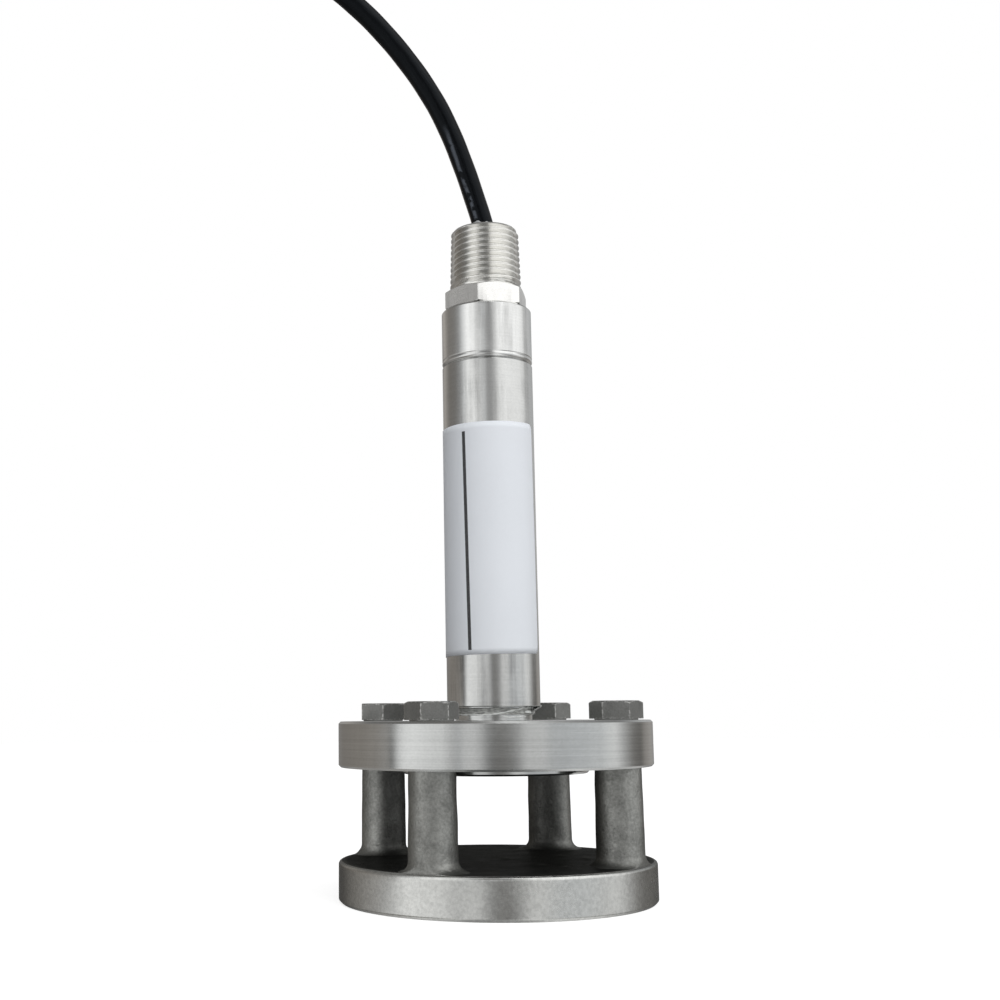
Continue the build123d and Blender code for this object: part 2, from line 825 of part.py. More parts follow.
run_length = sum(edge.length for edge in cable_path.edges())
wound_length = 2 * math.pi * coil_mean_radius * coil_turns
print("cable radii", [round(radius, 1) for radius in cable_radii])
print("cable run", round(run_length, 1), "volume", round(cable_run.volume, 1),
      "section times length", round(math.pi * cable_radius ** 2 * run_length, 1))
print("wound on the coil", round(wound_length, 1), "left over",
      round(cable_length - run_length - wound_length - tail_length, 1))
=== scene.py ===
"""Submersible level transmitter on a vented cable: pieces, finishes, light and camera.

Every length in the classes is in millimetres, in the frame of the CAD model: the origin is
the centre of the foot plate on the surface it stands on, +Z runs up the housing and -Y is
the front. Meshes are turned into metres as they are made.
"""
from __future__ import annotations

import logging
import math
from dataclasses import dataclass
from enum import Enum

import bmesh
import bpy
import numpy as np
from mathutils import Euler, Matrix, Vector

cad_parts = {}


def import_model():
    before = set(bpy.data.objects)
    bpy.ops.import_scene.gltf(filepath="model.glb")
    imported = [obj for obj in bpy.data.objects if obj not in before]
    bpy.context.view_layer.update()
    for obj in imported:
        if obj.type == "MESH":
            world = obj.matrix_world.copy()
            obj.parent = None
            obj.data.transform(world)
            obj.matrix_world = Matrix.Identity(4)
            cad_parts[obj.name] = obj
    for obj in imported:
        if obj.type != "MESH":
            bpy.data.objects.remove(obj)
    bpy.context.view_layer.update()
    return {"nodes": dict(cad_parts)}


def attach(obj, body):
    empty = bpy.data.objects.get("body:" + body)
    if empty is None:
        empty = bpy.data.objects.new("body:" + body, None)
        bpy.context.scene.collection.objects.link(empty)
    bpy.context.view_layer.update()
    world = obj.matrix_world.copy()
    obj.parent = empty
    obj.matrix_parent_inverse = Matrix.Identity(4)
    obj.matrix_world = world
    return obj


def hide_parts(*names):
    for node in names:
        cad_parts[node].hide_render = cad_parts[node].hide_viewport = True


LOG = logging.getLogger("level_transmitter")
BODY = "root"
MM = 0.001  # metres
FULL_TURN = 2 * math.pi  # radians
FRONT = -90.0  # angle of the front round the axis, in degrees
WORKED_EDGE = 24.0  # angle in degrees past which an edge of a worked piece is sharp
WEAR_REACH = 0.38  # distance over which the wear of an edge fades, in millimetres
BLACK = (0.0, 0.0, 0.0)

Colour = tuple[float, float, float]
Socket = bpy.types.NodeSocket


class Slot(Enum):
    """Material slots of the record; the wires at the cable's bare end take their finish by a
    slot's value.
    """

    CAST = "cast_steel"
    TURNED = "turned_steel"
    TUBE = "tube_steel"
    BOLT = "bolt_steel"
    LABEL = "label_paper"
    TAPE = "thread_tape"
    JACKET = "jacket"
    SEALANT = "sealant"
    TIE = "tie_plastic"
    RED = "red_insulation"
    BLACK = "black_insulation"
    COPPER = "tinned_copper"
    CLEAR = "clear_tube"


# ---------------------------------------------------------------- surfaces


def grid_quads(rows: int, columns: int, wrap_rows: bool, wrap_columns: bool) -> np.ndarray:
    """Corner numbers of the quads of a grid.

    Args:
        rows: number of rows of points.
        columns: number of points in a row.
        wrap_rows: whether the last row joins the first.
        wrap_columns: whether a row's last point joins its first.

    Returns:
        Array of four corner numbers for each quad.
    """
    row, column = np.meshgrid(np.arange(rows if wrap_rows else rows - 1),
                              np.arange(columns if wrap_columns else columns - 1),
                              indexing="ij")
    below, beside = (row + 1) % rows, (column + 1) % columns
    corners = (row * columns + column, row * columns + beside,
               below * columns + beside, below * columns + column)
    return np.stack(corners, -1).reshape(-1, 4)


def soften(corners: list[tuple[float, float, float]], steps: int = 4) -> np.ndarray:
    """Profile with rounded corners.

    Each corner (a, b, r) is replaced by points on the parabola through the points a
    distance r before it and after it, whose tangents meet at the corner. A corner with
    r = 0 stays sharp.

    Args:
        corners: radius, height and rounding of each corner, in order.
        steps: number of runs along each rounding.

    Returns:
        Array of radii and heights.
    """
    points = []
    for number, (a, b, rounding) in enumerate(corners):
        here = np.array((a, b))
        if rounding <= 0 or number in (0, len(corners) - 1):
            points.append(here)
            continue
        before = np.array(corners[number - 1][:2]) - here
        after = np.array(corners[number + 1][:2]) - here
        start = here + before / np.linalg.norm(before) * rounding
        end = here + after / np.linalg.norm(after) * rounding
        for share in np.linspace(0, 1, steps + 1):
            points.append((1 - share) ** 2 * start + 2 * share * (1 - share) * here
                          + share ** 2 * end)
    return np.array(points)


def divided(profile: np.ndarray, longest: float) -> np.ndarray:
    """Profile whose runs are cut into equal parts no longer than a given length."""
    pieces = []
    for first, second in zip(profile[:-1], profile[1:]):
        count = max(1, math.ceil(float(np.linalg.norm(second - first)) / longest))
        shares = np.linspace(0, 1, count, endpoint=False)[:, None]
        pieces.append(first + (second - first) * shares)
    return np.vstack((*pieces, profile[-1:]))


def polar(radius: np.ndarray, angle: np.ndarray, height: np.ndarray) -> np.ndarray:
    """Points (r cos t, r sin t, z) of a radius, an angle in radians and a height."""
    return np.stack(np.broadcast_arrays(radius * np.cos(angle), radius * np.sin(angle),
                                        height), -1)


def turned(profile: np.ndarray, segments: int) -> np.ndarray:
    """Surface of revolution.

    Args:
        profile: array of radii and heights.
        segments: number of points round the axis.

    Returns:
        Grid of points, one row for each point of the profile.
    """
    angle = np.linspace(0, FULL_TURN, segments, endpoint=False)
    return polar(profile[:, :1], angle, profile[:, 1:])


def capped(grid: np.ndarray, first: np.ndarray, last: np.ndarray) -> np.ndarray:
    """Grid of closed rows with a fan to a point at either end."""
    start, end = (np.repeat(point[None, None], grid.shape[1], 1) for point in (first, last))
    return np.concatenate((start, grid, end))


def eased(share: np.ndarray) -> np.ndarray:
    """Share from 0 to 1 that starts and ends without a jump of slope."""
    return share * share * (3 - 2 * share)


def ripple(x: np.ndarray, y: np.ndarray, seed: int, waves: int = 9) -> np.ndarray:
    """Smooth uneven field: the mean of plane waves with seeded directions and phases.

    Args:
        x: first coordinate, in wavelengths of the middle wave.
        y: second coordinate, in the same unit.
        seed: start of the random numbers.
        waves: number of waves.

    Returns:
        Array of heights, mostly between -1 and 1.
    """
    random = np.random.default_rng(seed)
    total = np.zeros(np.broadcast(x, y).shape)
    for _ in range(waves):
        heading, phase = random.uniform(0, FULL_TURN, 2)
        rate = FULL_TURN * random.uniform(0.5, 1.6)
        total += np.sin(rate * (x * math.cos(heading) + y * math.sin(heading)) + phase)
    return total / math.sqrt(waves)


def ripple_round(grid: np.ndarray, rate: float, length: float, seed: int) -> np.ndarray:
    """Ripple of a turned surface, without a seam where its angle starts again."""
    x, y, z = np.moveaxis(grid, -1, 0)
    angle = np.arctan2(y, x)
    return ripple(np.cos(angle) * rate + z / length, np.sin(angle) * rate, seed)


class Shell:
    """Grids of points that are put together into one mesh."""

    def __init__(self, name: str) -> None:
        """Start an empty mesh of that name."""
        self.name = name
        self.points: list[np.ndarray] = []
        self.quads: list[np.ndarray] = []
        self.edges: list[np.ndarray] = []
        self.uvs: list[np.ndarray] = []
        self.count = 0

    def add(self, grid: np.ndarray, wrap_rows: bool = False, wrap_columns: bool = True,
            edge: np.ndarray | None = None, uv: np.ndarray | None = None) -> Shell:
        """Add one grid.

        Args:
            grid: rows by columns by three coordinates, in millimetres.
            wrap_rows: whether the last row joins the first.
            wrap_columns: whether a row's last point joins its first.
            edge: how near each point is to a worn edge, from 0 to 1; on the cast cage, how
                deep its painted shade is.
            uv: pattern coordinates of each point.

        Returns:
            The shell itself.
        """
        rows, columns = grid.shape[:2]
        self.points.append(grid.reshape(-1, 3) * MM)
        self.quads.append(grid_quads(rows, columns, wrap_rows, wrap_columns) + self.count)
        self.edges.append(np.zeros(rows * columns) if edge is None
                          else np.broadcast_to(edge, (rows, columns)).ravel())
        self.uvs.append(np.zeros((rows * columns, 2)) if uv is None else uv.reshape(-1, 2))
        self.count += rows * columns
        return self

    def mesh(self, closed: bool = True, sharp: float = 32.0) -> bpy.types.Mesh:
        """Make the mesh.

        Args:
            closed: whether the grids are closed shells, whose faces then turn outwards.
            sharp: angle between faces, in degrees, past which an edge shades sharp.

        Returns:
            The mesh, with the attribute edge and a UV map.
        """
        mesh = bpy.data.meshes.new(self.name)
        quads = np.vstack(self.quads)
        mesh.from_pydata(np.vstack(self.points).tolist(), [], quads.tolist())
        # The attribute edge holds edge wear, and on the cast cage painted shade.
        worn = mesh.attributes.new("edge", "FLOAT", "POINT")
        worn.data.foreach_set("value", np.concatenate(self.edges).astype(np.float32))
        corners = np.vstack(self.uvs)[quads.ravel()].astype(np.float32)
        mesh.uv_layers.new(name="UVMap").data.foreach_set("uv", corners.ravel())
        work = bmesh.new()
        work.from_mesh(mesh)
        bmesh.ops.remove_doubles(work, verts=work.verts, dist=2e-7)
        bmesh.ops.dissolve_degenerate(work, dist=1e-7, edges=work.edges)
        if closed:
            bmesh.ops.recalc_face_normals(work, faces=work.faces)
        work.to_mesh(mesh)
        work.free()
        mesh.shade_smooth()
        mesh.set_sharp_from_angle(angle=math.radians(sharp))
        return mesh


def linked(name: str, data: bpy.types.ID) -> bpy.types.Object:
    """New object in the scene that shows the data."""
    item = bpy.data.objects.new(name, data)
    bpy.context.scene.collection.objects.link(item)
    return item


def place(mesh: bpy.types.Mesh, material: bpy.types.Material, slot: Slot,
          *replaced: str) -> bpy.types.Object:
    """Make a piece of a mesh and put it on the body.

    Args:
        mesh: the piece's mesh, already where it belongs.
        material: the piece's material.
        slot: not used.
        *replaced: CAD nodes that the piece stands for.

    Returns:
        The new object.
    """
    piece = linked(mesh.name, mesh)
    mesh.materials.append(material)
    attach(piece, BODY)
    if replaced:
        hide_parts(*replaced)
    LOG.info("%s: %d faces", piece.name, len(mesh.polygons))
    return piece


def thicken(piece: bpy.types.Object, sheet: float) -> None:
    """Give an open sheet its thickness in millimetres, on the side its faces look to."""
    wall = piece.modifiers.new("sheet", "SOLIDIFY")
    wall.thickness, wall.offset = sheet * MM, 1.0


def break_edges(piece: bpy.types.Object, width: float) -> None:
    """Round a worked piece's sharp edges by a width in millimetres."""
    edge = piece.modifiers.new("broken_edges", "BEVEL")
    edge.width, edge.segments, edge.limit_method = width * MM, 2, "ANGLE"
    edge.angle_limit = math.radians(WORKED_EDGE)


def add_hexagon(shell: Shell, flats: float, bottom: float, top: float, turn: float,
                centre: tuple[float, float] = (0.0, 0.0), lower_cut: float = 1.0) -> None:
    """Add a hexagonal prism whose corners are cut by 30 degree cones, as bolt heads are.

    In plan the side is at r = a / cos(t), with a half the size across flats and t the
    angle from the middle of its flat. The cone cuts it at a height (r - a) tan 30 from
    the end face.

    Args:
        shell: shell to add to.
        flats: size across flats.
        bottom: height of the lower face.
        top: height of the upper face.
        turn: angle of the first corner, in degrees.
        centre: place of the axis.
        lower_cut: share of the cone's cut that the lower end has.
    """
    half = flats / 2
    local = np.linspace(-math.pi / 6, math.pi / 6, 16, endpoint=False)
    angle = (np.arange(6)[:, None] * math.pi / 3 + local + math.pi / 6).ravel()
    reach = np.tile(half / np.cos(local), 6)
    cut = (reach - half) * math.tan(math.radians(30))
    low, high = bottom + cut * lower_cut, top - cut
    ends = np.outer((0.0, 0.55, 0.985), np.full_like(reach, half))
    side = np.linspace(0, 1, 10)[:, None]
    radius = np.vstack((ends, reach + 0 * side, ends[::-1]))
    height = np.vstack((bottom + 0 * ends, low + (high - low) * side, top + 0 * ends))
    grid = polar(radius, angle + math.radians(turn), height)
    grid[..., :2] += centre
    corner = half * (math.tan(math.pi / 6) - np.abs(np.tan(np.tile(local, 6))))
    rim = np.minimum(height - low, high - height).clip(0)
    near = np.minimum(np.broadcast_to(corner, rim.shape), rim)
    faces = [0, 1, 2, -3, -2, -1]
    near[faces] = np.abs(radius[faces] - half)
    shell.add(grid, edge=np.exp(-near / WEAR_REACH))


# ---------------------------------------------------------------- shader nodes


class NodeKit:
    """Short calls that make and join the nodes of one shader tree."""

    def __init__(self, tree: bpy.types.NodeTree) -> None:
        """Work on that tree."""
        self.tree = tree

    def feed(self, node: bpy.types.Node, inputs: dict) -> bpy.types.Node:
        """Set a node's inputs, by name or number, to values or join them to sockets."""
        for key, value in inputs.items():
            if isinstance(value, Socket):
                self.tree.links.new(value, node.inputs[key])
            else:
                node.inputs[key].default_value = value
        return node

    def add(self, kind: str, inputs: dict | None = None, **settings) -> bpy.types.Node:
        """Make a node.

        Args:
            kind: type name of the node, without its leading ShaderNode.
            inputs: value or source of the inputs, by name or number.
            **settings: properties of the node.

        Returns:
            The new node.
        """
        node = self.tree.nodes.new("ShaderNode" + kind)
        for key, value in settings.items():
            setattr(node, key, value)
        return self.feed(node, inputs or {})

    def group(self, tree: bpy.types.NodeTree, **inputs) -> bpy.types.bpy_prop_collection:
        """Outputs of a node group that gets its inputs by name."""
        return self.add("Group", inputs, node_tree=tree).outputs

    def math(self, operation: str, *terms, clamp: bool = False) -> Socket:
        """Result of a Math node on up to three numbers or sockets."""
        return self.add("Math", dict(enumerate(terms)), operation=operation,
                        use_clamp=clamp).outputs[0]

    def times(self, first, second) -> Socket:
        """Product of two numbers or sockets."""
        return self.math("MULTIPLY", first, second)

    def plus(self, total, *terms) -> Socket:
        """Sum of numbers or sockets."""
        for term in terms:
            total = self.math("ADD", total, term)
        return total

    def minus(self, first, second) -> Socket:
        """Difference of two numbers or sockets."""
        return self.math("SUBTRACT", first, second)

    def blend(self, share, first, second) -> Socket:
        """Colour between two colours or sockets, by a share from 0 to 1."""
        ends = [value if isinstance(value, Socket) else (*value, 1.0)
                for value in (first, second)]
        return self.add("Mix", {0: share, 6: ends[0], 7: ends[1]}, data_type="RGBA").outputs[2]

    def between(self, value, low: float, high: float, start: float = 0.0,
                end: float = 1.0) -> Socket:
        """Value moved from the range low to high into start to end, and held there."""
        return self.add("MapRange", {0: value, 1: low, 2: high, 3: start, 4: end}).outputs[0]

    def noise(self, vector, scale, detail: float = 2.0, rough: float = 0.5) -> Socket:
        """Height of a noise texture."""
        return self.add("TexNoise", {"Vector": vector, "Scale": scale, "Detail": detail,
                                     "Roughness": rough}).outputs[0]

    def place(self, kind: str = "Object") -> Socket:
        """Coordinates of that kind. The object's are in metres."""
        return self.add("TexCoord").outputs[kind]

    def edge(self) -> Socket:
        """The mesh's attribute that says how near a worn edge is, and on the cast cage how
        deep its painted shade is.
        """
        return self.add("Attribute", attribute_name="edge").outputs["Fac"]

    def split(self, vector: Socket) -> bpy.types.bpy_prop_collection:
        """The three parts of a vector."""
        return self.add("SeparateXYZ", {0: vector}).outputs

    def vector(self, *parts) -> Socket:
        """Vector of up to three numbers or sockets."""
        return self.add("CombineXYZ", dict(enumerate(parts))).outputs[0]

    def radius(self, x: Socket, y: Socket) -> Socket:
        """Distance from the Z axis."""
        return self.math("SQRT", self.plus(self.times(x, x), self.times(y, y)))


def new_group(name: str, inputs: dict[str, float],
              *outputs: str) -> tuple[NodeKit, dict[str, Socket], bpy.types.Node]:
    """Start a shader node group of number sockets.

    Args:
        name: name of the group.
        inputs: name and first value of each input.
        *outputs: names of the outputs.

    Returns:
        The group's kit, its input sockets by name and its output node.
    """
    tree = bpy.data.node_groups.new(name, "ShaderNodeTree")
    for key, value in inputs.items():
        socket = tree.interface.new_socket(key, in_out="INPUT", socket_type="NodeSocketFloat")
        socket.default_value = value
    for key in outputs:
        tree.interface.new_socket(key, in_out="OUTPUT", socket_type="NodeSocketFloat")
    source = tree.nodes.new("NodeGroupInput")
    return (NodeKit(tree), {key: source.outputs[key] for key in inputs},
            tree.nodes.new("NodeGroupOutput"))


class Effects:
    """Node groups that several finishes share, each built once."""

    def __init__(self) -> None:
        """Build every group."""
        self.lathe = self._lathe_marks()
        self.smudge = self._smudges()
        self.wear = self._edge_wear()
        self.skin = self._cast_skin()
        self.drawn = self._drawn_streaks()

    @staticmethod
    def _lathe_marks() -> bpy.types.NodeTree:
        """Fine rings round the axis: noise of radius and height, stretched round.

        Returns:
            The group, with the output Lines from 0 to 1.
        """
        kit, inputs, target = new_group("lathe_marks", {"Lines": 2000.0, "Drift": 0.6},
                                        "Lines")
        x, y, z = kit.split(kit.place())
        rings = kit.vector(kit.times(kit.radius(x, y), inputs["Lines"]),
                           kit.times(z, inputs["Lines"]),
                           kit.times(kit.math("ARCTAN2", y, x), inputs["Drift"]))
        kit.feed(target, {"Lines": kit.noise(rings, 1.0, 3.0, 0.65)})
        return kit.tree

    @staticmethod
    def _smudges() -> bpy.types.NodeTree:
        """Soft clouds of handling marks, two sizes of noise multiplied.

        Returns:
            The group, with the output Mask from 0 to 1.
        """
        kit, inputs, target = new_group("smudges", {"Size": 60.0}, "Mask")
        wide = kit.noise(kit.place(), inputs["Size"], 3.0)
        fine = kit.noise(kit.place(), 900.0, 2.0, 0.6)
        mask = kit.math("MULTIPLY", kit.between(wide, 0.36, 0.66),
                        kit.between(fine, 0.25, 0.6, 0.55, 1.0), clamp=True)
        kit.feed(target, {"Mask": mask})
        return kit.tree

    @staticmethod
    def _drawn_streaks() -> bpy.types.NodeTree:
        """Stains that run up and down: noise stretched along Z, thinned by soft clouds.

        Returns:
            The group, with the output Mask from 0 to 1.
        """
        kit, inputs, target = new_group("drawn_streaks", {"Across": 330.0, "Along": 22.0},
                                        "Mask")
        x, y, z = kit.split(kit.place())
        stretched = kit.vector(kit.times(x, inputs["Across"]), kit.times(y, inputs["Across"]),
                               kit.times(z, inputs["Along"]))
        streaks = kit.between(kit.noise(stretched, 1.0, 5.0, 0.6), 0.46, 0.68)
        clouds = kit.between(kit.noise(kit.place(), 75.0, 3.0), 0.36, 0.6)
        kit.feed(target, {"Mask": kit.math("MULTIPLY", streaks, clouds, clamp=True)})
        return kit.tree

    @staticmethod
    def _edge_wear() -> bpy.types.NodeTree:
        """Speckles along worn edges: the edge mask and a noise, made steep.

        Returns:
            The group, with the output Mask from 0 to 1.
        """
        kit, inputs, target = new_group(
            "edge_wear", {"Edge": 0.0, "Grain": 1500.0, "Reach": 0.5}, "Mask")
        grain = kit.noise(kit.place(), inputs["Grain"], 4.0, 0.7)
        lifted = kit.plus(kit.times(inputs["Edge"], inputs["Reach"]), grain)
        kit.feed(target, {"Mask": kit.between(lifted, 0.72, 0.84)})
        return kit.tree

    @staticmethod
    def _cast_skin() -> bpy.types.NodeTree:
        """Sand-cast skin: rolling unevenness, grain and scattered small pits.

        Returns:
            The group, with the outputs Height and Tone from 0 to 1.
        """
        kit, inputs, target = new_group("cast_skin", {"Grain": 1400.0}, "Height", "Tone")
        rolling = kit.noise(kit.place(), 170.0, 3.0, 0.55)
        grain = kit.noise(kit.place(), inputs["Grain"], 4.0, 0.65)
        cells = kit.add("TexVoronoi", {"Vector": kit.place(), "Scale": 520.0})
        pits = kit.between(cells.outputs[0], 0.08, 0.3)
        tone = kit.plus(kit.times(rolling, 0.5), kit.times(grain, 0.5))
        kit.feed(target, {
            "Height": kit.plus(kit.times(rolling, 0.9), kit.times(grain, 0.45),
                               kit.times(pits, 0.25)),
            "Tone": kit.between(tone, 0.34, 0.66)})
        return kit.tree


def new_material(name: str) -> tuple[bpy.types.Material, NodeKit]:
    """Start a material with a Principled BSDF, and a kit for its tree."""
    material = bpy.data.materials.new(name)
    material.use_nodes = True
    return material, NodeKit(material.node_tree)


def scaled(colour: Colour, share: float) -> Colour:
    """Colour made darker or brighter by a share."""
    return tuple(share * part for part in colour)


Painted = tuple[dict, Socket, float]


@dataclass(frozen=True)
class Finish:
    """Look of one material, painted by nodes."""

    name: str

    def paint(self, kit: NodeKit, effects: Effects) -> Painted:
        """Make the nodes of this finish.

        Args:
            kit: kit of the material's tree.
            effects: the shared node groups.

        Returns:
            Inputs of the Principled BSDF by name, the height of the bump from 0 to 1, and
            the depth in millimetres that a height of 1 stands for.
        """
        raise NotImplementedError

    def material(self, effects: Effects) -> bpy.types.Material:
        """Material of this finish."""
        material, kit = new_material(self.name)
        inputs, height, depth = self.paint(kit, effects)
        bump = kit.add("Bump", {"Height": height, "Distance": depth * MM})
        kit.feed(kit.tree.nodes["Principled BSDF"], {**inputs, "Normal": bump.outputs[0]})
        return material


@dataclass(frozen=True)
class SteelFinish(Finish):
    """Turned or brushed stainless steel, with rings round the axis and handling marks."""

    colour: Colour
    roughness: float
    lines: float
    depth: float
    smudge: float = 0.06
    lines_tone: float = 0.12
    stains: float = 0.05
    grain: float = 0.06

    def paint(self, kit: NodeKit, effects: Effects) -> Painted:
        """Darken the metal by its rings, its stains and a fine grain."""
        lines = kit.group(effects.lathe, Lines=self.lines)[0]
        rings = kit.between(lines, 0.3, 0.7, 1 - self.lines_tone, 1.0)
        drawn = kit.between(kit.group(effects.drawn)[0], 0.0, 1.0, 1.0, 1 - self.stains)
        grain = kit.between(kit.noise(kit.place(), 1500.0, 3.0, 0.7), 0.34, 0.62,
                            1 - self.grain, 1.0)
        tone = kit.times(kit.times(rings, drawn), grain)
        clouds = kit.times(kit.group(effects.smudge)[0], self.smudge)
        rough = kit.plus(self.roughness, clouds, kit.times(lines, 0.06))
        return ({"Base Color": kit.blend(tone, BLACK, self.colour), "Roughness": rough,
                 "Metallic": 1.0}, lines, self.depth)


@dataclass(frozen=True)
class CastFinish(Finish):
    """Cast stainless steel: a dark rough skin, with a rim that was turned bright."""

    dark: Colour
    light: Colour
    rim: Colour
    rim_radius: float
    rim_top: float
    rim_blur: float = 0.12
    ragged: float = 0.5
    # share of the dark colour that the painted shade keeps
    painted_shade: float = 0.25
    shine: float = 0.3

    def paint(self, kit: NodeKit, effects: Effects) -> Painted:
        """Pick the rim out by radius and height, and lay painted shade where the mesh says so.
        """
        skin = kit.group(effects.skin)
        place = kit.place()
        x, y, z = kit.split(place)
        ragged = kit.times(kit.minus(kit.noise(place, 420.0, 3.0), 0.5), self.ragged * MM)
        out = kit.between(kit.plus(kit.radius(x, y), ragged),
                          (self.rim_radius - self.rim_blur) * MM,
                          (self.rim_radius + self.rim_blur) * MM)
        under = kit.between(z, self.rim_top * MM, (self.rim_top + 0.1) * MM, 1.0, 0.0)
        low = kit.between(z, 0.02 * MM, 0.05 * MM, 1.0, 0.0)
        rim = kit.math("MAXIMUM", kit.times(out, under), low)
        rest = kit.minus(1.0, rim)
        # Painted shade: where the mesh's attribute edge says so, on the plate's top under the
        # flange and on the posts' inner sides, the skin goes to a darker copy of its dark
        # colour.
        painted_shade = kit.math("ADD", kit.edge(), kit.times(ragged, 90.0), clamp=True)
        cast = kit.blend(painted_shade, kit.blend(skin["Tone"], self.dark, self.light),
                         scaled(self.dark, self.painted_shade))
        fine = kit.noise(place, 1000.0, 4.0, 0.7)
        bright = kit.blend(kit.between(fine, 0.36, 0.62), scaled(self.rim, 0.82),
                           scaled(self.rim, 1.03))
        cast_rough = kit.between(skin["Tone"], 0.0, 1.0, 0.58, 0.4)
        rim_rough = kit.plus(0.19, kit.times(kit.group(effects.smudge)[0], 0.1))
        rough = kit.plus(kit.times(cast_rough, rest), kit.times(rim_rough, rim))
        lines = kit.group(effects.lathe, Lines=1900.0)[0]
        height = kit.plus(kit.times(skin["Height"], rest),
                          kit.times(kit.plus(lines, fine), kit.times(rim, 0.02)))
        return ({"Base Color": kit.blend(rim, cast, bright), "Roughness": rough,
                 "Metallic": 1.0, "Specular Tint": (*[self.shine] * 3, 1.0)}, height, 0.22)


@dataclass(frozen=True)
class WornFinish(Finish):
    """Matt forged steel with bright speckles where its edges have rubbed."""

    dull: Colour
    bright: Colour

    def paint(self, kit: NodeKit, effects: Effects) -> Painted:
        """Lay the speckles of wear over a dull skin."""
        wear = kit.group(effects.wear, Edge=kit.edge(), Grain=1500.0, Reach=0.3)[0]
        skin = kit.group(effects.skin, Grain=2300.0)
        dull = kit.blend(skin["Tone"], scaled(self.dull, 0.7), self.dull)
        rough = kit.minus(kit.between(skin["Tone"], 0.0, 1.0, 0.6, 0.47),
                          kit.times(wear, 0.2))
        return ({"Base Color": kit.blend(wear, dull, self.bright), "Roughness": rough,
                 "Metallic": 1.0}, skin["Height"], 0.07)


@dataclass(frozen=True)
class PolymerFinish(Finish):
    """Plastic, rubber or ceramic: a colour that drifts a little, and a fine grain."""

    colour: Colour
    roughness: float
    grain: float = 900.0
    depth: float = 0.02
    drift: float = 0.12

    def paint(self, kit: NodeKit, effects: Effects) -> Painted:
        """Let soft clouds darken the colour and dull the gloss."""
        clouds = kit.group(effects.smudge, Size=110.0)[0]
        return ({"Base Color": kit.blend(clouds, self.colour,
                                         scaled(self.colour, 1 - self.drift)),
                 "Roughness": kit.plus(self.roughness, kit.times(clouds, 0.08))},
                kit.noise(kit.place(), self.grain, 3.0, 0.6), self.depth)


@dataclass(frozen=True)
class RuledPaperFinish(Finish):
    """White label stock with one plain black ruled line."""

    paper: Colour
    ink: Colour
    line_at: float
    line_half: float
    line_low: float
    line_high: float

    def paint(self, kit: NodeKit, effects: Effects) -> Painted:
        """Rule the line by the UV map, which is in millimetres along and up the label."""
        along, up, _ = kit.split(kit.place("UV"))
        fibre = kit.noise(kit.place(), 1300.0, 4.0, 0.65)
        off = kit.plus(kit.math("ABSOLUTE", kit.minus(along, self.line_at)),
                       kit.times(fibre, 0.06))
        line = kit.between(off, self.line_half - 0.02, self.line_half + 0.05, 1.0, 0.0)
        for near, far in ((self.line_low - 0.05, self.line_low + 0.05),
                          (self.line_high + 0.05, self.line_high - 0.05)):
            line = kit.times(line, kit.between(up, near, far))
        ink = kit.blend(kit.between(fibre, 0.35, 0.7), self.ink, [c + 0.03 for c in self.ink])
        paper = kit.blend(kit.times(kit.group(effects.smudge, Size=45.0)[0], 0.6),
                          self.paper, scaled(self.paper, 0.95))
        return ({"Base Color": kit.blend(line, paper, ink),
                 "Roughness": kit.between(fibre, 0.3, 0.7, 0.46, 0.6)}, fibre, 0.012)


@dataclass(frozen=True)
class JacketFinish(Finish):
    """Satin black cable jacket, scuffed, with a broken smear of sealant at its start that is
    also a painted highlight.
    """

    colour: Colour
    scuff: Colour
    smear_and_highlight: Colour
    smear_and_highlight_at: float
    smear_and_highlight_full: float = 27.5
    smear_and_highlight_end: float = 34.0
    specular: float = 0.13
    sheen: Colour = (0.8, 0.9, 1.0)

    def paint(self, kit: NodeKit, effects: Effects) -> Painted:
        """Lay scuffs, and the smear that is also a painted highlight, by the UV map, in
        millimetres along and round the cable.
        """
        along, around, _ = kit.split(kit.place("UV"))
        lines = kit.noise(kit.vector(kit.times(along, 0.05), kit.times(around, 0.9)), 2.2,
                          4.0, 0.6)
        clouds = kit.group(effects.smudge, Size=120.0)[0]
        skin = kit.blend(kit.times(kit.between(lines, 0.52, 0.74), clouds), self.colour,
                         self.scuff)
        # Painted highlight: a pale broken streak at a fixed place round the jacket, fading
        # along it, laid like a smear of sealant that also roughens the jacket.
        wander = kit.noise(kit.vector(along), 0.16, 3.0, 0.6)
        middle = kit.plus(kit.math("MULTIPLY_ADD", wander, 1.4, self.smear_and_highlight_at - 0.7),
                          kit.between(along, 22.0, 31.0, -0.3, 0.3))
        off = kit.math("ABSOLUTE", kit.minus(around, middle))
        torn = kit.between(kit.noise(kit.vector(along, around), 0.42), 0.42, 0.52)
        smear_and_highlight = kit.times(kit.times(kit.between(off, 0.8, 0.25), torn),
                          kit.between(along, self.smear_and_highlight_end, self.smear_and_highlight_full, 0.0, 0.9))
        rough = kit.plus(kit.between(along, 30.0, 85.0, 0.11, 0.27), kit.times(clouds, 0.06))
        height = kit.plus(kit.times(kit.noise(kit.place(), 2400.0), 0.12),
                          kit.times(lines, 0.3), kit.noise(kit.place(), 380.0, 3.0, 0.55))
        return ({"Base Color": kit.blend(smear_and_highlight, skin, self.smear_and_highlight),
                 "Roughness": kit.math("MULTIPLY_ADD", smear_and_highlight, 0.25, rough),
                 "Specular IOR Level": self.specular, "Specular Tint": (*self.sheen, 1.0)},
                height, 0.13)


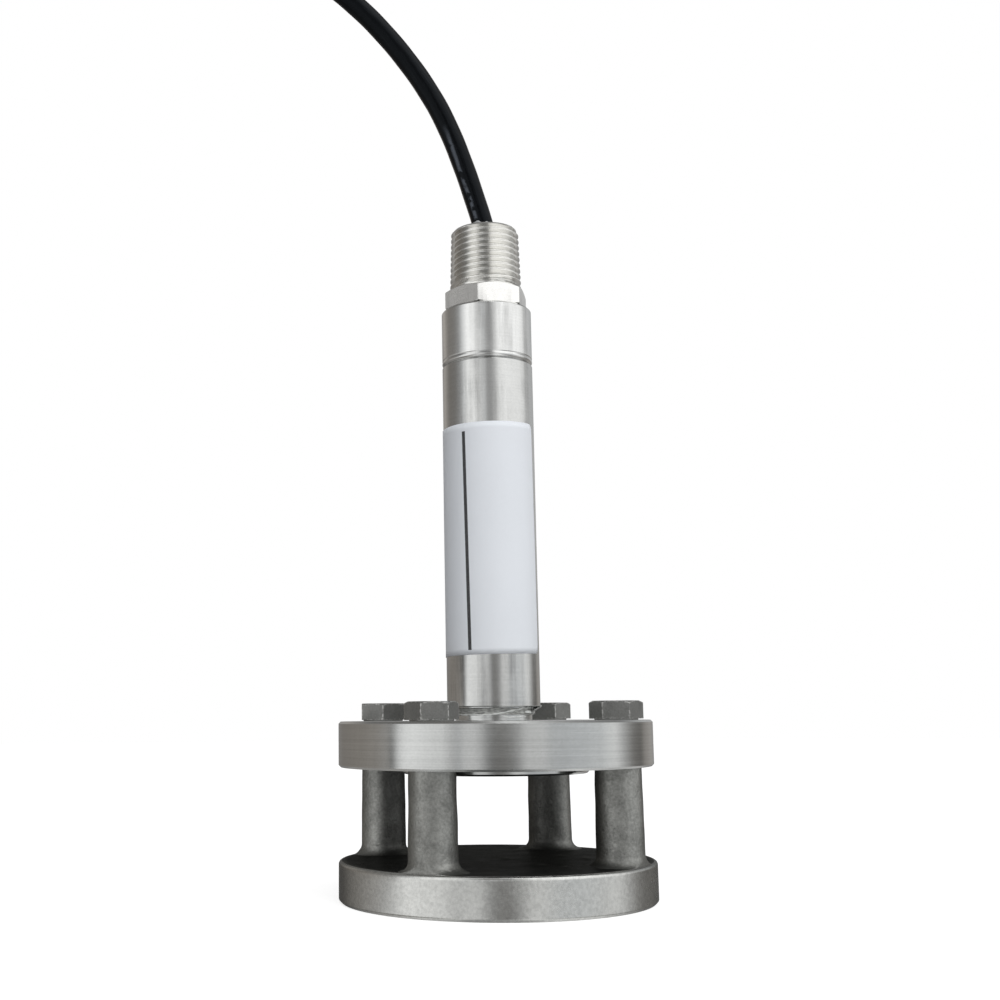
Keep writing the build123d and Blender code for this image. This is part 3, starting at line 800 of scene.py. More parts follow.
@dataclass(frozen=True)
class LaminateFinish(Finish):
    """Circuit board laminate with lighter tracks on a square raster."""

    colour: Colour
    track: Colour

    def paint(self, kit: NodeKit, effects: Effects) -> Painted:
        """Lay the tracks in the joints of a brick pattern."""
        dark, light = (*BLACK, 1), (1, 1, 1, 1)
        bricks = kit.add("TexBrick", {"Vector": kit.place(), "Scale": 420.0,
                                      "Mortar Size": 0.06, "Color1": dark, "Color2": dark,
                                      "Mortar": light})
        weave = kit.noise(kit.place(), 2500.0)
        base = kit.blend(weave, scaled(self.colour, 0.8), self.colour)
        rough = kit.between(kit.group(effects.smudge)[0], 0.0, 1.0, 0.3, 0.42)
        return ({"Base Color": kit.blend(bricks.outputs[1], self.track, base),
                 "Roughness": rough}, weave, 0.01)


@dataclass(frozen=True)
class ClearFinish(Finish):
    """Milky plastic film or tube. Patches below 1 let the metal show through the film."""

    colour: Colour
    roughness: float
    coat: float
    patches: float = 1.0

    def paint(self, kit: NodeKit, effects: Effects) -> Painted:
        """Cloud the plastic, or break a film into patches that run round its piece."""
        if self.patches < 1:
            flat = kit.add("VectorMath", {0: kit.place(), 1: (1.0, 1.0, 3.2)},
                           operation="MULTIPLY").outputs[0]
            clouds = kit.between(kit.noise(flat, 620.0, 3.0, 0.6), 0.38, 0.62)
        else:
            clouds = kit.group(effects.smudge, Size=400.0)[0]
        rough = kit.between(clouds, 0.0, 1.0, self.roughness, self.roughness + 0.15)
        return ({"Base Color": kit.blend(clouds, self.colour,
                                         scaled(self.colour, 0.82 * self.patches)),
                 "Roughness": rough, "Coat Weight": self.coat, "Coat Roughness": 0.15},
                kit.noise(kit.place(), 1600.0, 3.0), 0.03)


FINISHES = (
    SteelFinish("turned_steel", (0.617, 0.627, 0.617), 0.12, 1900.0, 0.0016, 0.07, 0.16),
    SteelFinish("tube_steel", (0.605, 0.61, 0.6), 0.1, 2400.0, 0.0012, 0.1, 0.07, 0.4),
    SteelFinish("cap_steel", (0.715, 0.72, 0.71), 0.1, 2400.0, 0.0012, 0.1, 0.07, 0.36, 0.05),
    SteelFinish("milled_steel", (0.87, 0.865, 0.845), 0.2, 2600.0, 0.0016, 0.1, 0.05, 0.3),
    SteelFinish("thread_steel", (0.77, 0.765, 0.74), 0.1, 5200.0, 0.002, 0.05, 0.06),
    SteelFinish("thin_steel", (0.66, 0.66, 0.64), 0.2, 1500.0, 0.003),
    SteelFinish("capsule_steel", (0.58, 0.58, 0.56), 0.3, 2600.0, 0.004),
    SteelFinish("crimp_metal", (0.62, 0.62, 0.62), 0.36, 1700.0, 0.008),
    SteelFinish("tinned_copper", (0.58, 0.57, 0.54), 0.34, 4200.0, 0.01),
    CastFinish("cast_steel", (0.2, 0.203, 0.192), (0.37, 0.373, 0.355),
               (0.61, 0.615, 0.595), 43.6, 11.2),
    WornFinish("bolt_steel", (0.27, 0.272, 0.262), (0.5, 0.5, 0.485)),
    RuledPaperFinish("label_paper", (0.755, 0.785, 0.83), (0.02, 0.02, 0.022), 32.85, 0.54,
                     1.3, 63.9),
    # The jacket's third colour is its smear, which is also a painted highlight.
    JacketFinish("jacket", (0.0016, 0.0018, 0.0024), (0.012, 0.0135, 0.0165),
                 (0.1, 0.112, 0.132), 3.5),
    ClearFinish("thread_tape", (0.52, 0.53, 0.51), 0.4, 0.4, 0.5),
    ClearFinish("tape_edge", (0.8, 0.82, 0.8), 0.16, 0.8),
    ClearFinish("clear_tube", (0.72, 0.72, 0.66), 0.28, 0.3),
    LaminateFinish("board_laminate", (0.015, 0.14, 0.05), (0.04, 0.3, 0.12)),
    PolymerFinish("sealant", (0.34, 0.35, 0.355), 0.36, 500.0, 0.05),
    PolymerFinish("nitrile", (0.02, 0.02, 0.021), 0.55),
    PolymerFinish("black_plastic", (0.025, 0.025, 0.026), 0.4),
    PolymerFinish("white_plastic", (0.66, 0.66, 0.61), 0.42),
    PolymerFinish("blue_plastic", (0.02, 0.09, 0.36), 0.32),
    PolymerFinish("ceramic", (0.68, 0.66, 0.6), 0.25, 400.0),
    PolymerFinish("red_insulation", (0.48, 0.02, 0.015), 0.33),
    PolymerFinish("black_insulation", (0.015, 0.015, 0.016), 0.33),
    PolymerFinish("tie_plastic", (0.028, 0.028, 0.03), 0.38, 700.0, 0.03),
)

# Every material of the scene by the name of its finish.
Finishes = dict[str, bpy.types.Material]


# ---------------------------------------------------------------- studio


@dataclass(frozen=True)
class StudioBand:
    """One edge of the bands that the metal mirrors: an azimuth and the level from it on."""

    azimuth: float
    level: float
    warmth: float = 0.0


Bands = tuple[StudioBand, ...]


def bands(*rows: tuple[float, ...]) -> Bands:
    """Bands from rows of azimuth, level and, where it isn't neutral, warmth."""
    return tuple(StudioBand(*row) for row in rows)


@dataclass
class Studio:
    """Pale floor, soft light and the camera of the photograph."""

    camera_place: tuple[float, float, float] = (1.2, -393.96, 50.85)
    camera_yaw: float = -4.86
    camera_pitch: float = 9.07
    camera_roll: float = -0.38
    camera_focal: float = 1355.9
    camera_shift: float = 0.12
    frame: float = 1000.0
    sensor: float = 36.0
    floor_radius: float = 2500.0
    floor_white: float = 0.45
    floor_glow: float = 0.72
    soft_azimuth: float = 45.0
    soft_dark: float = 0.15
    soft_bright: float = 1.1
    low_bands: Bands = bands(
        (-180, 0.25), (-145, 0.23, 0.08), (-118, 0.29, 0.09), (-96, 0.33, 0.08),
        (-82.5, 0.38, 0.05), (-78, 0.1), (-75, 0.45), (-71.5, 1.02), (-66, 1.2), (-60, 1.2),
        (-50, 1.0), (-37, 0.93), (-29, 0.6), (-26, 0.55, -0.02), (-20, 0.8), (-11, 0.76),
        (-4, 0.29), (1, 0.2, 0.03), (9, 0.25, 0.03), (16, 0.36), (23, 0.8), (36, 0.7),
        (40, 0.54, -0.03), (65, 0.66, -0.03), (80, 0.76, -0.02), (94, 1.0), (104, 0.58),
        (115, 0.25, 0.04), (128, 0.16, 0.05), (136, 0.33, 0.06), (150, 0.4, 0.05),
        (170, 0.28))
    foot_bands: Bands = bands(
        (-180, 0.25), (-145, 0.23, 0.05), (-118, 0.3, 0.05), (-104, 0.4, 0.03),
        (-94, 0.48, 0.02), (-86, 0.58), (-80, 0.78), (-73, 0.98), (-62, 1.14), (-50, 1.0),
        (-37, 0.95), (-29, 0.66), (-20, 0.86), (-11, 0.84), (-4, 0.33), (1, 0.22, 0.02),
        (9, 0.26, 0.02), (16, 0.38), (23, 0.95), (36, 0.88), (40, 0.74, -0.02),
        (65, 0.82, -0.02), (80, 0.8), (94, 0.9), (104, 0.6), (115, 0.32, 0.03),
        (128, 0.22, 0.04), (136, 0.34, 0.04), (150, 0.38, 0.03), (170, 0.28))
    high_bands: Bands = bands(
        (-180, 0.3), (-141, 0.46, 0.07), (-114, 0.23, 0.07), (-90, 0.25, 0.04),
        (-76, 0.38), (-64, 0.86, -0.01), (-51, 1.3), (-33, 1.3), (-25, 0.84), (-21, 0.96),
        (-7, 0.78, -0.01), (-1, 0.49), (9, 0.45), (18, 0.68), (30, 1.22), (48, 1.33),
        (90, 1.24), (103, 1.08), (112, 0.66), (140, 0.62, -0.01), (170, 0.45))
    top_bands: Bands = bands(
        (-180, 0.25), (-105, 0.2, 0.04), (-76, 0.24), (-60, 0.95), (-42, 1.25), (-30, 1.0),
        (-19, 0.36), (0, 0.24), (14, 0.3), (26, 1.35), (45, 1.55), (85, 1.45), (108, 0.5),
        (130, 0.3))
    under_bands: Bands = bands(
        (-105, 0.25, 0.04), (-84, 0.5, 0.03), (-68, 1.0), (-52, 0.75), (-32, 0.42),
        (0, 0.4), (28, 0.45), (48, 1.0), (78, 1.15), (92, 0.75), (112, 0.35, 0.03))

    def camera(self) -> None:
        """Put the camera where the photograph was taken from.

        The object stands right of the camera's own axis, so its body leans a little to
        the left. The yaw and the shift follow that framing.
        """
        data = bpy.data.cameras.new("camera")
        data.sensor_width = self.sensor
        data.lens = self.sensor * self.camera_focal / self.frame
        data.clip_start, data.clip_end = 0.01, 20.0
        data.shift_x = self.camera_shift
        camera = linked("camera", data)
        camera.location = Vector(self.camera_place) * MM
        yaw, pitch, roll = (Euler([math.radians(turn) for turn in turns]).to_matrix()
                            for turns in ((0, 0, -self.camera_yaw),
                                          (90 + self.camera_pitch, 0, 0),
                                          (0, 0, self.camera_roll)))
        camera.rotation_euler = (yaw @ pitch @ roll).to_euler()
        bpy.context.scene.camera = camera

    def floor(self) -> None:
        """Lay a pale floor that keeps the object's shadow."""
        profile = np.array([(0.0, 0.0), (400.0, 0.0), (self.floor_radius, 0.0)])
        mesh = Shell("floor").add(turned(profile, 96)).mesh(closed=False)
        mesh.flip_normals()
        material, kit = new_material("floor")
        nodes = material.node_tree.nodes
        pale = kit.blend(kit.noise(kit.place(), 260.0, 3.0), [0.99 * self.floor_white] * 3,
                         [self.floor_white] * 3)
        shader = kit.feed(nodes["Principled BSDF"], {
            "Base Color": pale, "Roughness": 0.9, "Specular IOR Level": 0.1})
        seen = kit.add("LightPath").outputs["Is Camera Ray"]
        glow = kit.add("Emission", {"Strength": kit.times(seen, self.floor_glow)})
        both = kit.add("AddShader", {0: shader.outputs[0], 1: glow.outputs[0]})
        kit.feed(nodes["Material Output"], {"Surface": both.outputs[0]})
        mesh.materials.append(material)
        piece = linked("floor", mesh)
        piece.visible_glossy = False

    @staticmethod
    def ramp(kit: NodeKit, rows: Bands, way: Socket) -> Socket:
        """Colour ramp of the bands, on which an azimuth a lies at (a + 180) / 360.

        Args:
            kit: kit of the world's tree.
            rows: the bands.
            way: place on the ramp, from 0 to 1.

        Returns:
            The colour at that place.
        """
        ramp = kit.add("ValToRGB", {0: way})
        stops = ramp.color_ramp.elements
        for number, band in enumerate(rows):
            at = (band.azimuth + 180) / 360
            stop = stops[number] if number < 2 else stops.new(at)
            stop.position = at
            stop.color = (band.level * (1 + band.warmth), band.level,
                          band.level * (1 - band.warmth), 1.0)
        return ramp.outputs[0]

    def world(self) -> None:
        """Light the scene from all round, and give metal the studio's soft bands."""
        world = bpy.data.worlds.new("studio")
        world.use_nodes = True
        bpy.context.scene.world = world
        kit = NodeKit(world.node_tree)
        kit.tree.nodes.clear()
        x, y, z = kit.split(kit.place("Generated"))
        azimuth = kit.math("ARCTAN2", x, kit.times(y, -1.0))
        share = kit.math("MULTIPLY_ADD", azimuth, 1 / FULL_TURN, 0.5)
        sideways = kit.math("MULTIPLY_ADD", x, 0.5, 0.5)
        mirrored = self.ramp(kit, self.foot_bands, share)
        for start, full, rows, way in ((-0.1, -0.06, self.low_bands, share),
                                       (0.03, 0.1, self.high_bands, share),
                                       (0.34, 0.6, self.top_bands, share),
                                       (-0.3, -0.7, self.under_bands, sideways)):
            mirrored = kit.blend(kit.between(z, start, full), mirrored,
                                 self.ramp(kit, rows, way))
        heading = math.radians(self.soft_azimuth)
        facing = kit.minus(kit.times(x, math.sin(heading)), kit.times(y, math.cos(heading)))
        soft = kit.between(facing, -0.2, 0.75, self.soft_dark, self.soft_bright)
        soft = kit.blend(kit.between(z, 0.5, 0.9), soft, (0.9, 0.9, 0.9))
        path = kit.add("LightPath").outputs
        level = kit.blend(path["Is Glossy Ray"], soft, mirrored)
        level = kit.blend(path["Is Camera Ray"], level, (1.0, 1.0, 1.0))
        glow = kit.add("Background", {"Color": level})
        kit.add("OutputWorld", {0: glow.outputs[0]}).is_active_output = True

    def lamps(self) -> None:
        """Hang two soft lamps that shape the matt pieces and lay the shadow."""
        for name, place_at, size, power in (
                ("key_lamp", (450.0, -1050.0, 1400.0), 1.3, 11.0),
                ("fill_lamp", (-500.0, -1300.0, 800.0), 1.5, 1.5)):
            data = bpy.data.lights.new(name, "AREA")
            data.shape, data.size, data.energy = "DISK", size, power
            lamp = linked(name, data)
            lamp.location = Vector(place_at) * MM
            aim = Vector((-40.0, 0.0, 90.0)) * MM - lamp.location
            lamp.rotation_euler = aim.to_track_quat("-Z", "Y").to_euler()
            lamp.visible_glossy = False

    def build(self) -> None:
        """Build the studio round the object."""
        self.floor()
        self.world()
        self.lamps()
        LOG.info("studio ready")


# ---------------------------------------------------------------- cable


@dataclass
class VentedCable:
    """Cable with its coil, ties and stripped end."""

    length: float = 12190.0
    diameter: float = 6.4
    exit: tuple[float, float, float] = (0.0, 0.0, 196.0)
    route: tuple[tuple[float, float, float], ...] = (
        (-6.6, -4.0, 219.6), (-18.3, -9.0, 242.6), (-38.4, -14.5, 265.7),
        (-64.4, -19.5, 282.8), (-93.9, -24.0, 292.2), (-124.9, -28.0, 293.8),
        (-155.2, -31.0, 287.4), (-183.2, -34.0, 273.5), (-206.8, -36.8, 253.2),
        (-224.4, -39.3, 227.4), (-235.6, -41.5, 198.5), (-242.8, -43.5, 168.0),
        (-246.5, -44.8, 138.0), (-248.0, -45.3, 112.0), (-242.1, -45.3, 97.1),
        (-230.9, -45.3, 86.1), (-216.2, -45.3, 80.0),
    )
    coil_x: float = -201.0
    columns: int = 4
    rows: int = 13
    mean_radius: float = 35.7
    points_a_turn: int = 12
    crossover: float = 0.2
    tail: float = 28.0
    sides: int = 14
    core_pitch: float = 34.0
    core_relief: float = 0.05
    shown: float = 520.0
    shown_step: float = 1.5
    hidden_step: float = 3.6
    tie_angles: tuple[float, ...] = (90.0, 210.0, 330.0)
    tie_width: float = 4.6
    tie_sheet: float = 0.7
    tie_corner: float = 2.6
    tie_gap: float = 0.15
    lock_width: float = 3.4
    lock_depth: float = 2.7
    wire_reach: float = 30.0
    strand_pitch: float = 5.0

    def turn_places(self) -> tuple[np.ndarray, np.ndarray]:
        """Column and row of each turn: from the top down, out and in by turns.

        Returns:
            Distance of each turn from the mean radius, and its height.
        """
        turn = np.arange(self.columns * self.rows)
        row, column = turn // self.columns, turn % self.columns
        column = np.where(row % 2 == 0, self.columns - 1 - column, column)
        offset = (column - (self.columns - 1) / 2) * self.diameter
        return offset, (self.rows - 0.5 - row) * self.diameter

    def coil(self, mean_radius: float) -> np.ndarray:
        """Control points of the coil.

        The points stand at half steps round the axis, at the turn's radius divided by
        the cosine of half a step, so the spline touches each turn's circle. In the last
        part of a turn its radius and height run over to those of the next.

        Args:
            mean_radius: radius of the middle of the winding.

        Returns:
            Array of points.
        """
        offset, height = self.turn_places()
        count = self.points_a_turn
        progress = (np.arange(len(offset) * count) + 0.5) / count
        turn = progress.astype(int)
        after = np.minimum(turn + 1, len(offset) - 1)
        part = eased(np.clip((progress - turn - 1 + self.crossover) / self.crossover, 0, 1))
        radius = mean_radius + offset[turn] + (offset[after] - offset[turn]) * part
        level = height[turn] + (height[after] - height[turn]) * part
        return polar(radius / math.cos(math.pi / count),
                     progress * FULL_TURN - math.pi / 2, level) + (self.coil_x, 0.0, 0.0)

    def outer_turn(self, mean_radius: float) -> float:
        """Radius of the outer column of turns."""
        return mean_radius + (self.columns - 1) / 2 * self.diameter

    def controls(self, mean_radius: float) -> np.ndarray:
        """Control points of the whole cable, from the fitting to its bare end."""
        side, low = self.outer_turn(mean_radius), self.diameter / 2
        step = side * math.tan(math.pi / self.points_a_turn)
        tail = [(self.coil_x + way, -side, low) for way in (step, self.tail)]
        return np.vstack((self.exit, self.route, self.coil(mean_radius), tail))

    def centreline(self, mean_radius: float) -> np.ndarray:
        """Points along the NURBS spline through the cable's control points, in metres."""
        data = bpy.data.curves.new("cable_line", "CURVE")
        data.dimensions = "3D"
        data.resolution_u = 10
        spline = data.splines.new("NURBS")
        points = self.controls(mean_radius) * MM
        spline.points.add(len(points) - 1)
        weighted = np.column_stack((points, np.ones(len(points))))
        spline.points.foreach_set("co", weighted.ravel())
        spline.order_u = 3
        spline.use_endpoint_u = True
        curve = bpy.data.objects.new("cable_line", data)
        line = bpy.data.meshes.new_from_object(curve)
        places = np.zeros(len(line.vertices) * 3)
        line.vertices.foreach_get("co", places)
        bpy.data.meshes.remove(line)
        bpy.data.objects.remove(curve)
        bpy.data.curves.remove(data)
        return places.reshape(-1, 3)

    def wound(self) -> np.ndarray:
        """Centreline whose coil takes up the length that the run leaves over."""
        radius = self.mean_radius
        for _ in range(3):
            line = self.centreline(radius)
            length = np.linalg.norm(np.diff(line, axis=0), axis=1).sum() / MM
            radius += (self.length - length) / (FULL_TURN * self.columns * self.rows)
        LOG.info("coil: mean radius %.2f mm", radius)
        return self.centreline(radius)

    def stations(self, line: np.ndarray) -> tuple[np.ndarray, np.ndarray]:
        """Points along the cable at even steps, closer on the part that shows.

        Args:
            line: points of the centreline, in metres.

        Returns:
            The points in metres, and the way along the cable at each in millimetres.
        """
        runs = np.linalg.norm(np.diff(line, axis=0), axis=1)
        at = np.concatenate(([0.0], np.cumsum(runs))) / MM
        steps = np.concatenate((np.arange(0, self.shown, self.shown_step),
                                np.arange(self.shown, at[-1] - 2, self.hidden_step),
                                [at[-1]]))
        return np.stack([np.interp(steps, at, line[:, axis]) for axis in range(3)], -1), steps

    @staticmethod
    def frames(line: np.ndarray) -> tuple[np.ndarray, np.ndarray]:
        """Two directions across a line at each of its points, carried on without twist.

        Each normal is the one before it, less its part along the new direction.
        """
        along = np.gradient(line, axis=0)
        along /= np.linalg.norm(along, axis=1)[:, None]
        normal = np.zeros_like(along)
        last = np.cross(along[0], (0.0, 1.0, 0.0))
        for number, direction in enumerate(along):
            last = last - direction * float(last @ direction)
            last = last / math.sqrt(float(last @ last))
            normal[number] = last
        return normal, np.cross(along, normal)

    def tube(self, name: str, line: np.ndarray, steps: np.ndarray, radius: float,
             relief: float, pitch: float, lobes: int = 3) -> Shell:
        """Round tube along a line, with the relief of the cores twisted inside it.

        The radius is R - d (1 - cos(k (t - 2 pi s / p))) / 2, with t the angle round the
        tube, s the way along it, k the number of cores and p their pitch.

        Args:
            name: name of the mesh.
            line: points of the line, in millimetres.
            steps: way along the line at each point.
            radius: radius of the tube.
            relief: depth of the hollows between the cores.
            pitch: pitch of the twist.
            lobes: number of cores.

        Returns:
            The shell with the closed tube in it.
        """
        normal, second = self.frames(line)
        angle = np.linspace(0, FULL_TURN, self.sides, endpoint=False)
        phase = lobes * (angle - FULL_TURN * steps[:, None] / pitch)
        reach = (radius - relief * (1 - np.cos(phase)) / 2)[..., None]
        grid = line[:, None] + reach * (normal[:, None] * np.cos(angle)[:, None]
                                        + second[:, None] * np.sin(angle)[:, None])
        way = np.concatenate((steps[:1], steps, steps[-1:]))
        uv = np.stack(np.broadcast_arrays(way[:, None], angle * radius), -1)
        return Shell(name).add(capped(grid, line[0], line[-1]), uv=uv)

    def tie(self, number: int, angle: float) -> Shell:
        """Strap round the winding's section, with its lock on top.

        The strap follows a rounded rectangle, whose corners are quarter circles, and its
        section is a thin rectangle with rounded edges. The lock is a superellipse in plan.

        Args:
            number: number of the tie, for its name.
            angle: place round the coil, in degrees.

        Returns:
            The shell with the tie in it.
        """
        half, corner = self.columns * self.diameter / 2, self.tie_corner
        inner = self.mean_radius - half - self.tie_gap + corner
        outer = self.mean_radius + half + self.tie_gap - corner
        top = self.rows * self.diameter + self.tie_gap
        low = self.tie_sheet + 0.05 + corner
        arc = np.radians(np.linspace(0, 90, 7))
        path, out = [], []
        for x, z, start in ((outer, low, -90), (outer, top - corner, 0),
                            (inner, top - corner, 90), (inner, low, 180)):
            heading = arc + math.radians(start)
            way = np.stack((np.cos(heading), np.sin(heading)), -1)
            path.append(np.array((x, z)) + corner * way)
            out.append(way)
        path, out = np.vstack(path), np.vstack(out)
        wide, thick = self.tie_width / 2, self.tie_sheet / 2
        section = np.array([(-wide, -0.6), (-wide, 0.6), (-wide + 0.3, 1.0), (0.0, 1.0),
                            (wide - 0.3, 1.0), (wide, 0.6), (wide, -0.6),
                            (wide - 0.3, -1.0), (0.0, -1.0), (-wide + 0.3, -1.0)])
        plan = path[:, None] + out[:, None] * (thick + section[:, 1] * thick)[None, :, None]
        across = np.broadcast_to(section[:, 0], plan.shape[:2])
        turn = math.radians(angle)
        spoke = np.array((math.cos(turn), math.sin(turn)))
        beside = np.array((-math.sin(turn), math.cos(turn)))
        flat = plan[..., :1] * spoke + across[..., None] * beside
        grid = np.concatenate((flat + (self.coil_x, 0.0), plan[..., 1:]), -1)
        shell = Shell(f"coil_tie_{number}").add(grid, wrap_rows=True)
        share = np.linspace(0, FULL_TURN, 24, endpoint=False)
        wide, deep = (size * np.sign(wave) * np.abs(wave) ** 0.35
                      for size, wave in ((self.lock_width, np.cos(share)),
                                         (self.lock_depth, np.sin(share))))
        lock = []
        for rise, scale in ((0.0, 0.0), (0.0, 0.8), (0.25, 1.0), (1.5, 1.0), (1.8, 0.82),
                            (1.8, 0.0)):
            spot = ((self.mean_radius + deep * scale)[:, None] * spoke
                    + (wide * scale)[:, None] * beside)
            level = np.full(len(share), top + self.tie_sheet * 0.8 + rise)
            lock.append(np.column_stack((spot + (self.coil_x, 0.0), level)))
        return shell.add(np.array(lock))

    def wire(self, name: str, offset: float, lift: float, diameter: float,
             spread: float, share: tuple[float, float], relief: float, lobes: int) -> Shell:
        """Wire of the stripped end, lying down and fanning out from the jacket.

        Args:
            name: name of the mesh.
            offset: place beside the cable's middle where it starts.
            lift: height at which it starts.
            diameter: diameter of the wire.
            spread: how far it fans out.
            share: part of the way that is made, from 0 to 1.
            relief: depth of the hollows between strands.
            lobes: number of strands.

        Returns:
            The shell with the wire in it.
        """
        rest = diameter / 2
        way = np.linspace(share[0], share[1], 40)
        ease = eased(np.clip(way / 0.62, 0, 1))
        side = -self.outer_turn(self.mean_radius) + offset
        line = np.stack((self.coil_x + self.tail + 0.1 + self.wire_reach * way,
                         side + spread * way ** 1.5, lift + (rest - lift) * ease), -1)
        return self.tube(name, line, self.wire_reach * way, rest, relief,
                         self.strand_pitch, lobes)

    def build(self, finishes: Finishes) -> None:
        """Make the cable, its ties and the wires of its bare end."""
        line, steps = self.stations(self.wound())
        mesh = self.tube("vented_cable", line / MM, steps, self.diameter / 2,
                         self.core_relief, self.core_pitch).mesh()
        cable = place(mesh, finishes["jacket"], Slot.JACKET, "cable_run", "cable_coil")
        on_it = []
        for number, angle in enumerate(self.tie_angles):
            replaced = ("coil_ties",) if number == 0 else ()
            on_it.append(place(self.tie(number, angle).mesh(), finishes["tie_plastic"],
                               Slot.TIE, *replaced))
        red, black = (-1.5, 3.2, 1.6, -1.9), (1.5, 3.2, 1.6, 2.7)
        for name, run, share, relief, lobes, slot, *node in (
                ("lead_red_end", red, (0.0, 0.8), 0.0, 3, Slot.RED, "lead_red"),
                ("lead_red_strands", red, (0.8, 1.0), 0.16, 7, Slot.COPPER),
                ("lead_black_end", black, (0.0, 0.8), 0.0, 3, Slot.BLACK, "lead_black"),
                ("lead_black_strands", black, (0.8, 1.0), 0.16, 7, Slot.COPPER),
                ("drain_strands", (0.0, 1.3, 0.9, -1.4), (0.0, 1.0), 0.12, 7, Slot.COPPER,
                 "drain_wire"),
                ("vent_tube", (0.0, 4.9, 2.0, 0.9), (0.0, 0.94), 0.0, 3, Slot.CLEAR,
                 "vent_tube_end")):
            shell = self.wire(name, *run, share, relief, lobes)
            on_it.append(place(shell.mesh(), finishes[slot.value], slot, *node))
        for piece in (cable, *on_it):
            piece.visible_glossy = False


# ---------------------------------------------------------------- housing and fitting


